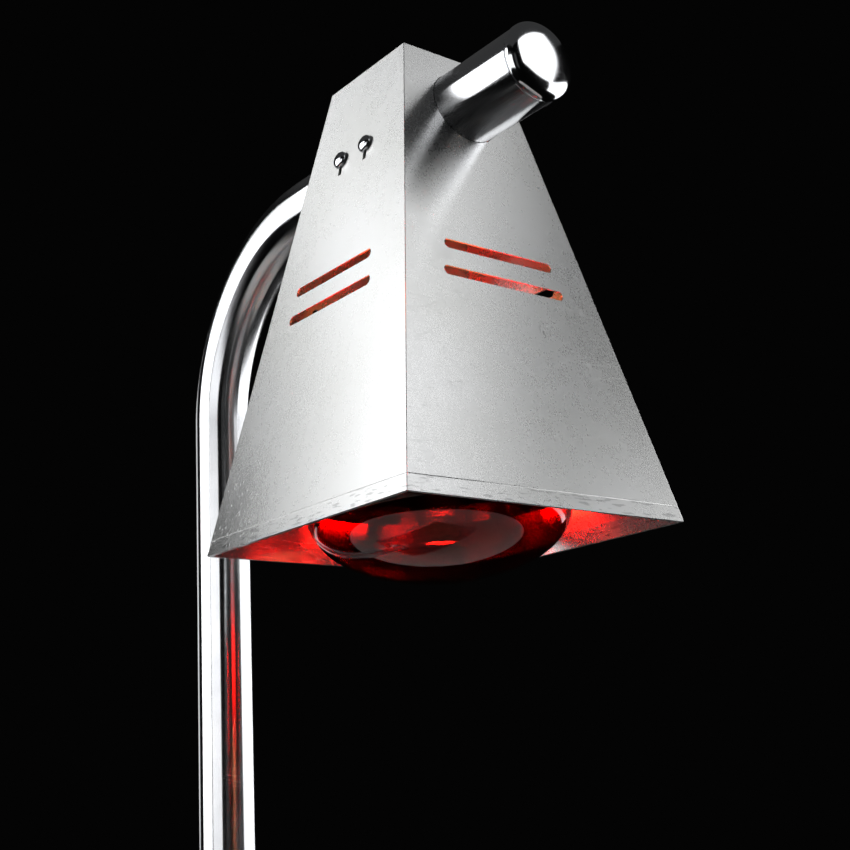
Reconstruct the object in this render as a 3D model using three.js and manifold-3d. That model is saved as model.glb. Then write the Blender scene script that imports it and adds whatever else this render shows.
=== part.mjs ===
// Free-standing heat lamp: a pyramid shade with a reflector bulb, tilting on a bent chrome post over a
// sheet-metal base. Millimetres, +Z up. The origin is the middle of the base's footprint on the counter, and
// the lamp faces -Y.
import * as THREE from "three";
import { mergeVertices } from "three/addons/utils/BufferGeometryUtils.js";
import Module from "manifold-3d";

// ---------------------------------------------------------------- driving dimensions

// Clearances: between pieces that touch, between coaxial fits, and round a turning or sliding piece.
const GAP = 0.3;
const FIT = 0.1;
const RUN = 0.1;

// Base
const BASE_WIDTH = 200;
const BASE_DEPTH = 346;
const BASE_TOP = 60;
const BASE_CORNER = 14;
const BASE_SHEET = 1.2;
const BASE_RISE = 8;
const FOOT_RADIUS = 13;
const FOOT_INSET = 26;
const POST_SETBACK = 42;

// Post: a tube that rises from the base, bends forward and ends level
const POST_RADIUS = 15.875;
const POST_WALL = 1.5;
const POST_REACH = 202.4;
const POST_BEND = 102.2;
const POST_BELOW_TOP = 24;
const POST_END = 14;
const FLANGE_RADIUS = 34;
const FLANGE_HEIGHT = 11;

// Shade: a truncated square pyramid of folded sheet
const SHADE_LIFT = 420;
const SHADE_BOTTOM = 160;
const SHADE_TOP = 62.5;
const SHADE_HEIGHT = 235.4;
const SHADE_SHEET = 1.0;
const HEM_HEIGHT = 8;

// Vent slots: two in each wall, and in the side walls a little shorter and set away from the seam
const SLOT_HEIGHT = 4.8;
const SIDE_SLOT_SHIFT = 2.5;
const SLOTS = [
  { z: 123.3, front: 32.4, side: 31 },
  { z: 108.9, front: 35.8, side: 33.5 },
];

// Sleeve: the large tube across the shade, and how far it stands out ahead of and behind the shade's walls
const SLEEVE_Z = 206.4;
const SLEEVE_RADIUS = 19.05;
const SLEEVE_WALL = 1.2;
const SLEEVE_AHEAD = 50.744;
const SLEEVE_BEHIND = 22.744;
const CAP_RIM = 2.8;
const CAP_DOME = 4.6;
const CAP_FULLNESS = 0.45;
const BUSH_LENGTH = 8;
const TILT_LIMIT = 35;

// Shade screws and the bracket that they hold
const SCREW_Z = 188;
const SCREW_SPACING = 20.8;
const SCREW_HEAD_RADIUS = 4.4;
const SCREW_HEAD_HEIGHT = 2.9;
const KEYHOLE_RADIUS = 3.2;
const KEYHOLE_TAIL = 2.8;
const KEYHOLE_DROP = 8.2;
const BRACKET_FLOOR = 176;
const BRACKET_SHEET = 1.5;
const BRACKET_TOP = 198;
const BRACKET_LENGTH = 66;
const SADDLE_OFFSET = 26;

// Lampholder and bulb
const BULB_RADIUS = 62.5;
const BULB_LOW = -20;
const BULB_WIDEST = 12;
const BULB_NECK_Z = 106;
const BULB_CAP_LOW = 124;
const BULB_CAP_HIGH = 145;
const BULB_CAP_RADIUS = 13.1;
const BULB_TIP_HIGH = 150;
const GLASS = 1.4;
const HOLDER_RADIUS = 21;
const HOLDER_MOUTH = 121;
const HOLDER_TOP = 171;

// Rocker switch in the front wall of the base
const SWITCH_WIDTH = 22;
const SWITCH_TALL = 30;
const SWITCH_DEPTH = 20;
const ROCKER_TILT = 12;
const ROCKER_PIVOT = 1.6;
const ROCKER_FACE = 3.4;

// Cable gland in the rear wall
const GLAND_PROUD = 15;
const GLAND_HOLE = 8.2;

const WIRE_RADIUS = 1.1;

// Sides of the coaxial tubes, bushes and the holes round them, so that their facets line up.
const ROUND = 32;

// ---------------------------------------------------------------- derived places

const rad = THREE.MathUtils.degToRad;
const ROCKER_HALF = SWITCH_TALL / 2 - 4.2;
const ROCKER_EDGE = ROCKER_FACE + (ROCKER_HALF / 2) * Math.tan(rad(ROCKER_TILT));
const ROCKER_PROUD =
  ROCKER_EDGE * Math.cos(rad(ROCKER_TILT)) + ROCKER_HALF * Math.sin(rad(ROCKER_TILT)) - ROCKER_PIVOT;

// The base stands a little forward, so that the origin is the middle of the whole depth, rocker to gland.
const BASE_Y = (ROCKER_PROUD - GLAND_PROUD) / 2;
const FRONT_WALL = BASE_Y - BASE_DEPTH / 2;
const REAR_WALL = BASE_Y + BASE_DEPTH / 2;
const POST_Y = REAR_WALL - POST_SETBACK;
const SHADE_Y = POST_Y - POST_REACH;
const AXIS_Z = SHADE_LIFT + SLEEVE_Z;
const SLOPE = (SHADE_BOTTOM - SHADE_TOP) / 2 / SHADE_HEIGHT;
const LEAN = Math.atan(SLOPE);
const SLEEVE_BORE = SLEEVE_RADIUS - SLEEVE_WALL;
const POST_BORE = POST_RADIUS - POST_WALL;
const HOUSING_FLOOR = BASE_TOP - BASE_SHEET;
const halfSide = (z) => SHADE_BOTTOM / 2 - SLOPE * z;
const SLEEVE_FRONT = halfSide(SLEEVE_Z) + SLEEVE_AHEAD;
const SLEEVE_REAR = halfSide(SLEEVE_Z) + SLEEVE_BEHIND;
const STOP_Y = SLEEVE_REAR - BUSH_LENGTH - 5.5;

// ---------------------------------------------------------------- finishes

const FINISHES = {
  shade: { color: 0xd2d2d2, roughness: 0.38, metalness: 1 },
  chrome: { color: 0xdcdde0, roughness: 0.06, metalness: 1 },
  steel: { color: 0xb4b6b8, roughness: 0.35, metalness: 1 },
  zinc: { color: 0xc2c0b6, roughness: 0.4, metalness: 1 },
  brass: { color: 0xc9a65a, roughness: 0.35, metalness: 1 },
  bronze: { color: 0xa87a45, roughness: 0.45, metalness: 1 },
  rubber: { color: 0x1b1b1c, roughness: 0.85, metalness: 0 },
  plastic: { color: 0x18181a, roughness: 0.45, metalness: 0 },
  porcelain: { color: 0xf0ece2, roughness: 0.25, metalness: 0 },
  ruby: { color: 0x6a0207, roughness: 0.05, metalness: 0 },
  glass: { color: 0xdfe6e6, roughness: 0.05, metalness: 0 },
  blackGlass: { color: 0x0c0c10, roughness: 0.15, metalness: 0 },
  tungsten: { color: 0xffb070, roughness: 0.5, metalness: 1 },
  silicone: { color: 0x8c2e1c, roughness: 0.6, metalness: 0 },
  liveWire: { color: 0x5a3a24, roughness: 0.6, metalness: 0 },
  neutralWire: { color: 0xe8e6df, roughness: 0.6, metalness: 0 },
  nylon: { color: 0xe6e2d4, roughness: 0.5, metalness: 0 },
};

// ---------------------------------------------------------------- solids

const wasm = await Module();
wasm.setup();

// A closed three.js geometry as a solid that can be joined and cut.
function solid(geometry) {
  const bare = geometry.clone();
  bare.deleteAttribute("normal");
  bare.deleteAttribute("uv");
  const merged = mergeVertices(bare, 1e-4);
  return new wasm.Manifold(
    new wasm.Mesh({
      numProp: 3,
      vertProperties: new Float32Array(merged.attributes.position.array),
      triVerts: new Uint32Array(merged.index.array),
    }),
  );
}

function geometryOf(shape) {
  const mesh = shape.getMesh();
  return new THREE.BufferGeometry()
    .setAttribute("position", new THREE.BufferAttribute(mesh.vertProperties, 3))
    .setIndex(new THREE.BufferAttribute(mesh.triVerts, 1));
}

const joined = (first, ...others) => others.reduce((whole, piece) => whole.add(piece), first);
const cut = (first, ...tools) => tools.reduce((whole, tool) => whole.subtract(tool), first);

// Box between two corners.
function block(low, high) {
  const size = high.map((value, i) => value - low[i]);
  const middle = high.map((value, i) => (value + low[i]) / 2);
  return solid(new THREE.BoxGeometry(...size).translate(...middle));
}

// Solid of revolution about Z: the profile holds [radius, z], counter-clockwise.
function turned(profile, segments) {
  const points = profile.map(([radius, z]) => new THREE.Vector2(radius, z));
  return solid(new THREE.LatheGeometry(points, segments).rotateX(Math.PI / 2));
}

const disc = (radius, low, high, segments = 24) =>
  turned([[0, low], [radius, low], [radius, high], [0, high]], segments);

const ring = (outer, inner, low, high, segments = 24) =>
  turned([[inner, low], [outer, low], [outer, high], [inner, high], [inner, low]], segments);

// The same shapes lying along Y instead of standing along Z.
const alongY = (shape) => shape.rotate([90, 0, 0]).mirror([0, 1, 0]);

function roundedRectangle(width, depth, radius) {
  const x = width / 2;
  const y = depth / 2;
  const outline = new THREE.Shape();
  outline.moveTo(-x + radius, -y);
  outline.absarc(x - radius, -y + radius, radius, -Math.PI / 2, 0, false);
  outline.absarc(x - radius, y - radius, radius, 0, Math.PI / 2, false);
  outline.absarc(-x + radius, y - radius, radius, Math.PI / 2, Math.PI, false);
  outline.absarc(-x + radius, -y + radius, radius, Math.PI, Math.PI * 1.5, false);
  return outline;
}

function extruded(outline, low, high, curveSegments = 6) {
  const depth = high - low;
  const geometry = new THREE.ExtrudeGeometry(outline, { depth, bevelEnabled: false, curveSegments });
  return solid(geometry.translate(0, 0, low));
}

function hexagon(acrossFlats, bore) {
  const corner = new THREE.Vector2(acrossFlats / Math.sqrt(3), 0);
  const centre = new THREE.Vector2();
  const corners = [0, 1, 2, 3, 4, 5].map((i) => corner.clone().rotateAround(centre, (i * Math.PI) / 3));
  const outline = new THREE.Shape(corners);
  outline.holes.push(new THREE.Path().absarc(0, 0, bore, 0, Math.PI * 2, true));
  return outline;
}

// Square frustum, coaxial with the shade, whose sides stand in from the shade's outer faces by inset.
function frustum(low, high, inset) {
  const inward = inset / Math.cos(LEAN);
  const corner = (z) => (halfSide(z) - inward) * Math.SQRT2;
  const geometry = new THREE.CylinderGeometry(corner(high), corner(low), high - low, 4);
  geometry.rotateY(Math.PI / 4).rotateX(Math.PI / 2);
  return solid(geometry.translate(0, 0, (low + high) / 2));
}

// Screw with a domed head above Z = 0 and its shank below.
function domeScrew(headRadius, headHeight, shankRadius, length) {
  return turned(
    [
      [0, -length],
      [shankRadius, -length],
      [shankRadius, 0],
      [headRadius, 0],
      [headRadius, headHeight * 0.35],
      [headRadius * 0.72, headHeight * 0.85],
      [0, headHeight],
    ],
    12,
  );
}

// Round wire along a smooth curve through the points, with a cross-section about every step millimetres.
function wire(points, step) {
  const path = new THREE.CatmullRomCurve3(points.map((point) => new THREE.Vector3(...point)));
  const steps = Math.round(path.getLength() / step);
  const section = new THREE.Shape().absarc(0, 0, WIRE_RADIUS, 0, Math.PI * 2);
  const options = { steps, extrudePath: path, curveSegments: 4, bevelEnabled: false };
  return solid(new THREE.ExtrudeGeometry(section, options));
}

// A group's pieces are added by name, each with its own material.
function add(group, name, shape, finish) {
  const material = new THREE.MeshStandardMaterial(FINISHES[finish]);
  const mesh = new THREE.Mesh(geometryOf(shape), material);
  mesh.name = name;
  group.add(mesh);
  return mesh;
}

const lamp = new THREE.Group();
const stand = new THREE.Group();
const head = new THREE.Group();
const bulb = new THREE.Group();
lamp.add(stand, head);
head.add(bulb);
head.position.set(0, SHADE_Y, SHADE_LIFT);

// ---------------------------------------------------------------- base

const FOOT_HOLE = 2.4;
const COVER_Z = BASE_RISE + 2;
const footPlaces = [
  ["front_left", -1, -1],
  ["front_right", 1, -1],
  ["rear_left", -1, 1],
  ["rear_right", 1, 1],
].map(([name, x, y]) => [name, x * (BASE_WIDTH / 2 - FOOT_INSET), BASE_Y + y * (BASE_DEPTH / 2 - FOOT_INSET)]);
const SWITCH_Z = (BASE_TOP + BASE_RISE) / 2;
const GLAND_Z = SWITCH_Z;

function baseHousing() {
  const footprint = roundedRectangle(BASE_WIDTH, BASE_DEPTH, BASE_CORNER);
  const outside = extruded(footprint, BASE_RISE, BASE_TOP);
  const wall = 2 * BASE_SHEET;
  const hollow = roundedRectangle(BASE_WIDTH - wall, BASE_DEPTH - wall, BASE_CORNER - BASE_SHEET);
  const shell = cut(outside, extruded(hollow, BASE_RISE - 1, HOUSING_FLOOR)).translate([0, BASE_Y, 0]);
  const low = COVER_Z + BASE_SHEET + GAP;
  const tabs = footPlaces.map(([, x, y]) => {
    const wallX = Math.sign(x) * (BASE_WIDTH / 2 - BASE_SHEET / 2);
    const innerX = x - Math.sign(x) * FOOT_RADIUS;
    const corners = [Math.min(wallX, innerX), Math.max(wallX, innerX)];
    const tab = block([corners[0], y - FOOT_RADIUS, low], [corners[1], y + FOOT_RADIUS, low + BASE_SHEET]);
    return cut(tab, disc(FOOT_HOLE, low - 1, low + BASE_SHEET + 1, 12).translate([x, y, 0]));
  });
  const postHole = disc(POST_RADIUS + GAP, HOUSING_FLOOR - 1, BASE_TOP + 1, 40).translate([0, POST_Y, 0]);
  const halfWidth = SWITCH_WIDTH / 2 - 1.2;
  const halfTall = SWITCH_TALL / 2 - 1.2;
  const switchHole = block(
    [-halfWidth, FRONT_WALL - 1, SWITCH_Z - halfTall],
    [halfWidth, FRONT_WALL + BASE_SHEET + 1, SWITCH_Z + halfTall],
  );
  const throughRear = disc(GLAND_HOLE, REAR_WALL - BASE_SHEET - 1, REAR_WALL + 1);
  const glandHole = alongY(throughRear).translate([0, 0, GLAND_Z]);
  return cut(joined(shell, ...tabs), postHole, switchHole, glandHole);
}

function baseCover() {
  const inset = 2 * (BASE_SHEET + GAP);
  const outline = roundedRectangle(BASE_WIDTH - inset, BASE_DEPTH - inset, BASE_CORNER - BASE_SHEET - GAP);
  const plate = extruded(outline, COVER_Z, COVER_Z + BASE_SHEET).translate([0, BASE_Y, 0]);
  const holes = footPlaces.map(([, x, y]) =>
    disc(FOOT_HOLE, COVER_Z - 1, COVER_Z + BASE_SHEET + 1, 12).translate([x, y, 0]),
  );
  return cut(plate, ...holes);
}

// A foot is a short rubber cone with a recess for its screw's head.
function foot() {
  const top = COVER_Z - GAP;
  const recess = 5.2;
  const seat = 5;
  return turned(
    [
      [recess, 0],
      [FOOT_RADIUS - 2, 0],
      [FOOT_RADIUS - 1, 1],
      [FOOT_RADIUS, top],
      [FOOT_HOLE, top],
      [FOOT_HOLE, seat],
      [recess, seat],
      [recess, 0],
    ],
    16,
  );
}

add(stand, "base_housing", baseHousing(), "steel");
add(stand, "base_cover", baseCover(), "steel");
for (const [name, x, y] of footPlaces) {
  add(stand, "foot_" + name, foot(), "rubber").position.set(x, y, 0);
  const screw = add(stand, "foot_screw_" + name, domeScrew(4, 2.4, FOOT_HOLE - GAP, 11), "zinc");
  screw.position.set(x, y, 5 - GAP);
  screw.rotation.x = Math.PI;
}

// ---------------------------------------------------------------- post

// Centreline of the post: one step up the straight, equal steps round the bend, one step along the arm.
class PostPath extends THREE.Curve {
  constructor(bendSteps) {
    super();
    this.bendSteps = bendSteps;
    this.steps = bendSteps + 2;
  }

  turnAt(u) {
    const station = Math.round(u * this.steps) - 1;
    return (THREE.MathUtils.clamp(station / this.bendSteps, 0, 1) * Math.PI) / 2;
  }

  getPointAt(u, target = new THREE.Vector3()) {
    const turn = this.turnAt(u);
    const y = POST_Y - POST_BEND * (1 - Math.cos(turn));
    const z = AXIS_Z - POST_BEND * (1 - Math.sin(turn));
    if (u === 0) return target.set(0, POST_Y, BASE_TOP - POST_BELOW_TOP);
    return u === 1 ? target.set(0, SHADE_Y + POST_END, AXIS_Z) : target.set(0, y, z);
  }

  getTangentAt(u, target = new THREE.Vector3()) {
    const turn = this.turnAt(u);
    return target.set(0, -Math.sin(turn), Math.cos(turn));
  }
}

function postTube() {
  const path = new PostPath(14);
  const section = new THREE.Shape().absarc(0, 0, POST_RADIUS, 0, Math.PI * 2);
  section.holes.push(new THREE.Path().absarc(0, 0, POST_BORE, 0, Math.PI * 2, true));
  const options = { steps: path.steps, extrudePath: path, curveSegments: ROUND / 2, bevelEnabled: false };
  const tube = solid(new THREE.ExtrudeGeometry(section, options));
  const stopHole = disc(1.9, AXIS_Z - POST_RADIUS - 2, AXIS_Z - POST_BORE + 2, 12);
  return cut(tube, stopHole.translate([0, SHADE_Y + STOP_Y, 0]));
}

// Cover ring where the post enters the base, rounded towards the post.
function postFlange() {
  const bore = POST_RADIUS + FIT;
  const low = BASE_TOP + GAP;
  const high = low + FLANGE_HEIGHT;
  const crown = bore + 2;
  const edge = 2;
  const profile = [[bore, low], [FLANGE_RADIUS, low]];
  for (let i = 0; i <= 5; i++) {
    const angle = (i * Math.PI) / 10;
    const radius = crown + (FLANGE_RADIUS - crown) * (1 - Math.sin(angle));
    profile.push([radius, high - (FLANGE_HEIGHT - edge) * Math.cos(angle)]);
  }
  profile.push([bore, high], [bore, low]);
  return turned(profile, ROUND).translate([0, POST_Y, 0]);
}

const WASHER_HIGH = HOUSING_FLOOR - GAP;
const LOCKNUT_HIGH = WASHER_HIGH - 2 - GAP;
add(stand, "post_tube", postTube(), "chrome");
add(stand, "post_flange", postFlange(), "chrome");
const washer = ring(26, POST_RADIUS + GAP, WASHER_HIGH - 2, WASHER_HIGH);
add(stand, "post_washer", washer, "zinc").position.y = POST_Y;
const locknut = extruded(hexagon(44, POST_RADIUS + FIT), LOCKNUT_HIGH - 9, LOCKNUT_HIGH, 16);
add(stand, "post_locknut", locknut, "brass").position.y = POST_Y;

// Screw in the post whose head rides under the sleeve and whose shank stops the tilt at the slot's ends.
const stopScrew = domeScrew(3.8, 2.4, 1.7, SLEEVE_RADIUS - POST_BORE + 1);
const stop = add(stand, "tilt_stop_screw", stopScrew, "chrome");
stop.position.set(0, SHADE_Y + STOP_Y, AXIS_Z - SLEEVE_RADIUS - GAP);
stop.rotation.x = Math.PI;

// ---------------------------------------------------------------- switch, gland and wiring in the base

const SWITCH_LIP = 2.2;
const ROCKER_WIDTH = SWITCH_WIDTH - 6;
const ROCKER_TALL = SWITCH_TALL - 6;

function switchFrame() {
  const lip = roundedRectangle(SWITCH_WIDTH, SWITCH_TALL, 2);
  const front = extruded(lip, GAP, GAP + SWITCH_LIP, 3);
  const bodyX = SWITCH_WIDTH / 2 - 1.2 - GAP;
  const bodyZ = SWITCH_TALL / 2 - 1.2 - GAP;
  const body = block([-bodyX, -bodyZ, -SWITCH_DEPTH], [bodyX, bodyZ, GAP + 1]);
  const pocketX = ROCKER_WIDTH / 2 + GAP;
  const pocketZ = ROCKER_TALL / 2 + GAP;
  const pocket = block([-pocketX, -pocketZ, -9], [pocketX, pocketZ, GAP + SWITCH_LIP + 1]);
  return cut(joined(front, body), pocket);
}

// The rocker is a shallow V in side view; its pivot is the group's origin.
function rocker() {
  const foot = 3;
  const side = 0.4;
  const outline = new THREE.Shape();
  outline.moveTo(-foot, -4.5);
  outline.lineTo(foot, -4.5);
  outline.lineTo(ROCKER_HALF - side, -1);
  outline.lineTo(ROCKER_HALF, ROCKER_EDGE);
  outline.lineTo(0, ROCKER_FACE - 0.6);
  outline.lineTo(-ROCKER_HALF, ROCKER_EDGE);
  outline.lineTo(-ROCKER_HALF + side, -1);
  outline.closePath();
  return extruded(outline, -ROCKER_WIDTH / 2, ROCKER_WIDTH / 2).rotate([0, 90, 180]);
}

const frame = add(stand, "switch_frame", switchFrame(), "plastic");
frame.position.set(0, FRONT_WALL, SWITCH_Z);
frame.rotation.x = Math.PI / 2;

const switchPivot = new THREE.Group();
switchPivot.position.set(0, FRONT_WALL + ROCKER_PIVOT, SWITCH_Z);
switchPivot.rotation.x = -rad(ROCKER_TILT);
lamp.add(switchPivot);
add(switchPivot, "switch_rocker", rocker(), "plastic");

function cableGland() {
  const inside = disc(GLAND_HOLE - GAP, -12, 1);
  const collar = extruded(hexagon(22, 5), GAP, 6);
  const dome = turned([[0, 5], [9.6, 5], [9.6, 11], [7, GLAND_PROUD], [0, GLAND_PROUD]], 24);
  return cut(joined(inside, collar, dome), disc(5, -13, 7, 20), disc(3.6, 6, GLAND_PROUD + 1, 20));
}

const gland = add(stand, "cable_gland", alongY(cableGland()), "plastic");
gland.position.set(0, REAR_WALL, GLAND_Z);
const glandNut = add(stand, "gland_locknut", alongY(extruded(hexagon(22, GLAND_HOLE), -6, 0, 12)), "plastic");
glandNut.position.set(0, REAR_WALL - BASE_SHEET - GAP, GLAND_Z);

const BLOCK_Y = POST_Y - 70;
const BLOCK_TALL = 14;
const blockTop = HOUSING_FLOOR - GAP;
function terminalBlock() {
  const body = block([-14, -9, blockTop - BLOCK_TALL], [14, 9, blockTop]);
  const sockets = [-7, 7].map((x) => alongY(disc(1.8, -10, 10, 10)).translate([x, 0, blockTop - 8]));
  return cut(body, ...sockets);
}
add(stand, "terminal_block", terminalBlock(), "nylon").position.y = BLOCK_Y;

// Supply wires: from the terminal block into the post's foot, up and round the bend to the splices.
const SPLICE_Y = POST_END - 3;
for (const [name, side, finish] of [["live", -1, "liveWire"], ["neutral", 1, "neutralWire"]]) {
  const x = side * 3.4;
  const points = [[side * 7, BLOCK_Y + 4, blockTop - 8], [side * 7, BLOCK_Y + 22, blockTop - 9]];
  points.push([side * 5, POST_Y - 28, BASE_TOP - 36], [x, POST_Y - 8, BASE_TOP - 38]);
  points.push([x, POST_Y, BASE_TOP - 20], [x, POST_Y, BASE_TOP + 40]);
  points.push([x, POST_Y, (BASE_TOP + AXIS_Z) / 2], [x, POST_Y, AXIS_Z - POST_BEND]);
  for (const turn of [18, 36, 54, 72, 90]) {
    const y = POST_Y - POST_BEND * (1 - Math.cos(rad(turn)));
    points.push([x, y, AXIS_Z - POST_BEND * (1 - Math.sin(rad(turn)))]);
  }
  points.push([x, SHADE_Y + POST_END + 30, AXIS_Z], [x, SHADE_Y + SPLICE_Y + 3, AXIS_Z]);
  add(stand, "wire_stand_" + name, wire(points, 20.5), finish);
  const lead = [[side * 7, BLOCK_Y - 4, blockTop - 8], [side * 7, BLOCK_Y - 40, blockTop - 12]];
  lead.push([side * 6, FRONT_WALL + 60, SWITCH_Z - 6], [side * 5, FRONT_WALL + SWITCH_DEPTH + GAP, SWITCH_Z]);
  add(stand, "wire_switch_" + name, wire(lead, 21), finish);
}

// ---------------------------------------------------------------- shade

const SEAM_SLIT = 0.3;

// One level of vent slots: bars with round ends, one right through the front and rear walls and one out of
// each side wall. Turning the front half by 180 degrees gives the rear half.
function ventCutter({ z, front, side }) {
  const reach = SHADE_BOTTOM;
  const bar = (half) => roundedRectangle(2 * half, SLOT_HEIGHT, SLOT_HEIGHT / 2 - 0.01);
  const across = extruded(bar(front), -reach, reach, 5).rotate([90, 0, 0]);
  const out = extruded(bar(side), 0, reach, 5).rotate([90, 0, 90]).translate([0, -SIDE_SLOT_SHIFT, 0]);
  return joined(across, out, out.rotate([0, 0, 180])).translate([0, 0, z]);
}

// Keyhole round each side screw's head: a round hole with a narrow tail below it.
function keyholes() {
  const cutters = [];
  for (const y of [-SCREW_SPACING / 2, SCREW_SPACING / 2]) {
    const round = disc(KEYHOLE_RADIUS, -SHADE_BOTTOM, SHADE_BOTTOM, 16).rotate([0, 90, 0]);
    const tail = block([-SHADE_BOTTOM, -KEYHOLE_TAIL / 2, -KEYHOLE_DROP], [SHADE_BOTTOM, KEYHOLE_TAIL / 2, 0]);
    cutters.push(joined(round, tail).translate([0, y, SCREW_Z]));
  }
  return cutters;
}

function sleeveHole() {
  const hole = disc(SLEEVE_RADIUS + GAP, -SHADE_BOTTOM, SHADE_BOTTOM, ROUND);
  return alongY(hole).translate([0, 0, SLEEVE_Z]);
}

function shadeWalls() {
  const outside = frustum(0, SHADE_HEIGHT, 0);
  const overTop = SHADE_HEIGHT + 1;
  const hollow = joined(
    frustum(-1, HEM_HEIGHT, 2 * SHADE_SHEET + 0.1),
    frustum(HEM_HEIGHT, overTop, SHADE_SHEET),
  );
  return cut(outside, hollow, ...SLOTS.map(ventCutter), ...keyholes(), sleeveHole());
}

// The walls part into two folded halves along the diagonal through the two seam corners.
function shadeHalf(side) {
  const half = block([-2 * SHADE_BOTTOM, -2 * SHADE_BOTTOM, -10], [-SEAM_SLIT / 2, 2 * SHADE_BOTTOM, 300]);
  return shadeWalls().intersect(half.rotate([0, 0, side < 0 ? -45 : 135]));
}

function shadeTop() {
  const lip = 9;
  const low = SHADE_HEIGHT - lip;
  const outer = frustum(low, SHADE_HEIGHT, SHADE_SHEET + GAP);
  const hollow = frustum(low - 1, SHADE_HEIGHT - SHADE_SHEET, 2 * SHADE_SHEET + GAP);
  return cut(outer, hollow, sleeveHole());
}

add(head, "shade_half_left", shadeHalf(-1), "shade");
add(head, "shade_half_right", shadeHalf(1), "shade");
add(head, "shade_top", shadeTop(), "shade");

// ---------------------------------------------------------------- sleeve, cap and bushes

const sleeveLine = (shape) => alongY(shape).translate([0, 0, SLEEVE_Z]);

function sleeveTube() {
  const tube = sleeveLine(ring(SLEEVE_RADIUS, SLEEVE_BORE, -SLEEVE_FRONT, SLEEVE_REAR, ROUND));
  const below = SLEEVE_Z - SLEEVE_RADIUS;
  const wireHole = disc(5, below - 2, below + 8, 20);
  const screwHoles = [-1, 1].map((side) =>
    disc(1.75, below - 2, below + 8, 12).translate([0, side * SADDLE_OFFSET, 0]),
  );
  const shank = 1.7;
  const sweep = rad(TILT_LIMIT) + Math.asin((shank + 0.25) / SLEEVE_BORE);
  const sector = new THREE.Shape();
  sector.absarc(0, 0, SLEEVE_RADIUS + 2, -Math.PI / 2 - sweep, -Math.PI / 2 + sweep);
  sector.absarc(0, 0, SLEEVE_BORE - 2, -Math.PI / 2 + sweep, -Math.PI / 2 - sweep, true);
  const slot = extruded(sector, -shank - GAP, shank + GAP, 20).rotate([90, 0, 0]);
  return cut(tube, wireHole, ...screwHoles, slot.translate([0, STOP_Y, SLEEVE_Z]));
}

// Pressed-in end cap: a short rim as wide as the sleeve, a low dome in front and a spigot behind.
function endCap() {
  const spigot = SLEEVE_BORE - FIT;
  const rim = SLEEVE_RADIUS + 0.3;
  const profile = [[0, -10], [spigot, -10], [spigot, GAP], [rim, GAP]];
  for (let i = 0; i < 6; i++) {
    const angle = (i * Math.PI) / 12;
    profile.push([rim * Math.cos(angle) ** CAP_FULLNESS, GAP + CAP_RIM + CAP_DOME * Math.sin(angle)]);
  }
  profile.push([0, GAP + CAP_RIM + CAP_DOME]);
  return turned(profile, ROUND).rotate([90, 0, 0]);
}

add(head, "sleeve_tube", sleeveTube(), "chrome");
add(head, "end_cap", endCap(), "chrome").position.set(0, -SLEEVE_FRONT, SLEEVE_Z);
const bushSize = [SLEEVE_BORE - FIT, POST_RADIUS + RUN];
const frontBush = ring(...bushSize, POST_END + 1.5, POST_END + 1.5 + BUSH_LENGTH, ROUND);
const rearBush = ring(...bushSize, SLEEVE_REAR - BUSH_LENGTH, SLEEVE_REAR - 0.5, ROUND);
add(head, "bush_front", sleeveLine(frontBush), "bronze");
add(head, "bush_rear", sleeveLine(rearBush), "bronze");

// ---------------------------------------------------------------- bracket, saddles and their screws

const WEB_HIGH = BRACKET_FLOOR + BRACKET_SHEET;
const SADDLE_LOW = WEB_HIGH + GAP;
const HOLDER_SCREW_X = 17;

// A channel: its floor carries the lampholder, and its sides lie against the shade's side walls.
function mountBracket() {
  const inset = SHADE_SHEET + GAP;
  const reach = BRACKET_LENGTH / 2;
  const body = frustum(BRACKET_FLOOR, BRACKET_TOP, inset);
  const room = frustum(WEB_HIGH, BRACKET_TOP + 1, inset + BRACKET_SHEET);
  const span = block([-SHADE_BOTTOM, -reach, 0], [SHADE_BOTTOM, reach, SHADE_HEIGHT]);
  const hole = (radius, x, y) => disc(radius, BRACKET_FLOOR - 1, WEB_HIGH + 1, 16).translate([x, y, 0]);
  const holes = [hole(8, 0, 0)];
  for (const side of [-1, 1]) {
    holes.push(hole(2.1, side * HOLDER_SCREW_X, 0), hole(2.1, 0, side * SADDLE_OFFSET));
    const cross = disc(2.2, -12, 4, 12).rotate([0, side * (90 - THREE.MathUtils.radToDeg(LEAN)), 0]);
    for (const y of [-SCREW_SPACING / 2, SCREW_SPACING / 2]) {
      holes.push(cross.translate([side * halfSide(SCREW_Z), y, SCREW_Z]));
    }
  }
  return cut(cut(body, room).intersect(span), ...holes);
}

function saddle() {
  const body = block([-12, -6, SADDLE_LOW], [12, 6, SADDLE_LOW + 13]);
  const seat = alongY(disc(SLEEVE_RADIUS + GAP, -8, 8, ROUND)).translate([0, 0, SLEEVE_Z]);
  return cut(body, seat, disc(2.1, SADDLE_LOW - 1, SADDLE_LOW + 14, 12));
}

add(head, "mount_bracket", mountBracket(), "steel");
for (const [name, side] of [["front", -1], ["rear", 1]]) {
  add(head, "saddle_" + name, saddle(), "steel").position.y = side * SADDLE_OFFSET;
  const length = SLEEVE_Z - SLEEVE_BORE - BRACKET_FLOOR + 0.6;
  const screw = add(head, "saddle_screw_" + name, domeScrew(3.4, 2.2, 1.45, length), "zinc");
  screw.position.set(0, side * SADDLE_OFFSET, BRACKET_FLOOR - GAP);
  screw.rotation.x = Math.PI;
}

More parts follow.
